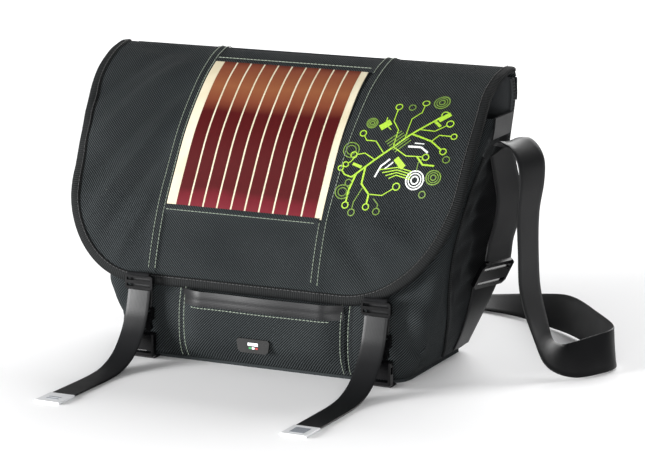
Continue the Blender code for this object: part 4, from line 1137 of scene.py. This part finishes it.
def make_marks(label, grey, red, green):
    """Plain patches on the strap ends, and a blank plate with small colour bars on the badge."""

    def patch(name, body, slot, place, size, finish, across, up):
        along, rising = (np.linspace(-length / 2, length / 2, 6) for length in size)
        rows = [[Vector(place) + Vector(across) * a + Vector(up) * b for a in along] for b in rising]
        coords = [[(p.x, p.y + p.z) for p in row] for row in rows]
        piece = cloth_grid(name, rows, coords, finish, Vector(across).cross(Vector(up)), 0.0004)
        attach(piece, body)

    level, upright = ((1, 0, 0), (0, 1, 0)), ((1, 0, 0), (0, 0, 1))
    for word in SIDES:
        low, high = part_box(f"strap_tip_{word}")
        x, y, z = (low.x + high.x) / 2, (low.y + high.y) / 2, high.z + 0.0002
        if word == "right":
            patch("tip_square", "tail_right", "tip", (x, y, z), (0.0150, 0.0160), grey, *level)
        else:
            for i, off in enumerate((-0.0040, 0.0010)):
                patch(f"tip_bar_{i + 1}", "tail_left", "tip", (x, y + off, z), (0.0130, 0.0022), grey, *level)
    low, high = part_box("badge")
    x, z = (low.x + high.x) / 2, (low.z + high.z) / 2
    face = low.y - 0.0002
    patch("badge_plate", "root", "rubber", (x, face, z + 0.0018), (0.0110, 0.0030), label, *upright)
    for i, (off, finish) in enumerate(((-0.0030, green), (0.0005, label), (0.0040, red))):
        place = (x + off, face, z - 0.0020)
        patch(f"badge_bar_{i + 1}", "root", "rubber", place, (0.0028, 0.0018), finish, *upright)


def dress(nodes, finish, width=0.0005):
    """Rounds carried-over nodes' edges and gives them their material."""
    for node in nodes:
        obj = frame["nodes"][node]
        obj.data.materials.clear()
        obj.data.materials.append(finish)
        bevel = obj.modifiers.new("soft_edges", "BEVEL")
        bevel.width = width
        bevel.segments = 3
        bevel.limit_method = "ANGLE"
        bevel.angle_limit = math.radians(35)


def main():
    make_stage()
    cloth = twill("ballistic_nylon", (0.0012, 0.0015, 0.0016), (0.060, 0.068, 0.072), 0.0028, 0.0007)
    # The side nylon is the body's nylon made darker: painted shade for the gussets, which face away from the
    # lights.
    side_cloth_painted_shade = twill("side_nylon_painted_shade", (0.002, 0.002, 0.0025), (0.012, 0.0125, 0.013), 0.0024, 0.0003,
                       sheen=0.05)
    back_cloth = twill("back_nylon", (0.002, 0.0022, 0.0024), (0.045, 0.048, 0.050), 0.0034, 0.0007)
    lining = twill("grey_lining", (0.03, 0.032, 0.034), (0.075, 0.078, 0.082), 0.0012, 0.0001, 0.6)
    pocket_cloth = twill("pocket_cloth", (0.01, 0.01, 0.011), (0.05, 0.052, 0.055), 0.0014, 0.0002, 0.7)
    tape = tape_material("satin_webbing", (0.0060, 0.0062, 0.0068))
    binding = grosgrain()
    thread = thread_material("pale_thread", (0.24, 0.29, 0.22))
    dark_thread = thread_material("black_thread", (0.012, 0.012, 0.012))
    plastic = moulded("buckle_acetal", (0.0022, 0.0022, 0.0025), 0.20)
    housing = moulded("housing_plastic", (0.02, 0.02, 0.022), 0.5, 0.0001)
    rubber = moulded("soft_rubber", (0.010, 0.010, 0.010), 0.55, 0.0002)
    board = moulded("base_board", (0.04, 0.04, 0.042), 0.65, 0.0002)
    steel = moulded("socket_steel", (0.55, 0.55, 0.56), 0.35, 0.00003, 1.0)
    label = label_material()

    make_flap(cloth, lining, binding, thread, dark_thread)
    make_panel(film_material(), cell_material_with_painted_reflections(), cloth)
    make_hinge_strip(cloth)
    make_print(ink("green_ink", (0.30, 0.50, 0.03)), ink("dim_green_ink", (0.13, 0.22, 0.03)),
               ink("white_ink", (0.62, 0.64, 0.62)))
    make_body(cloth, side_cloth_painted_shade, lining, back_cloth)
    make_trims(tape, binding)
    make_pocket(cloth, tape, thread)
    make_straps(tape)
    make_divider(lining, thread)
    make_back_stitching(thread)
    for word in SIDES:
        make_closure(word, tape)
    make_marks(label, ink("grey_ink", (0.25, 0.27, 0.30)), ink("red_ink", (0.35, 0.02, 0.02)),
               ink("badge_green_ink", (0.02, 0.25, 0.06)))
    buckles = [f"{kind}_{word}" for word in SIDES for kind in ("ladder_lock", "buckle_male", "buckle_female")]
    dress(buckles + ["adjuster_buckle"], plastic, 0.0006)
    dress(["bottom_panel"], cloth)
    dress(["bottom_board"], board)
    dress(["battery_pack", "charge_controller", "junction_box"], housing, 0.0008)
    dress(["usb_socket"], steel, 0.0002)
    dress(["badge"], rubber, 0.0006)
    dress(["battery_pocket"], pocket_cloth, 0.0004)
    dress([f"strap_tip_{w}" for w in SIDES], label, 0.0004)
    dress(["panel_lead_bag", "panel_lead_flap"], rubber, 0.0001)


main()
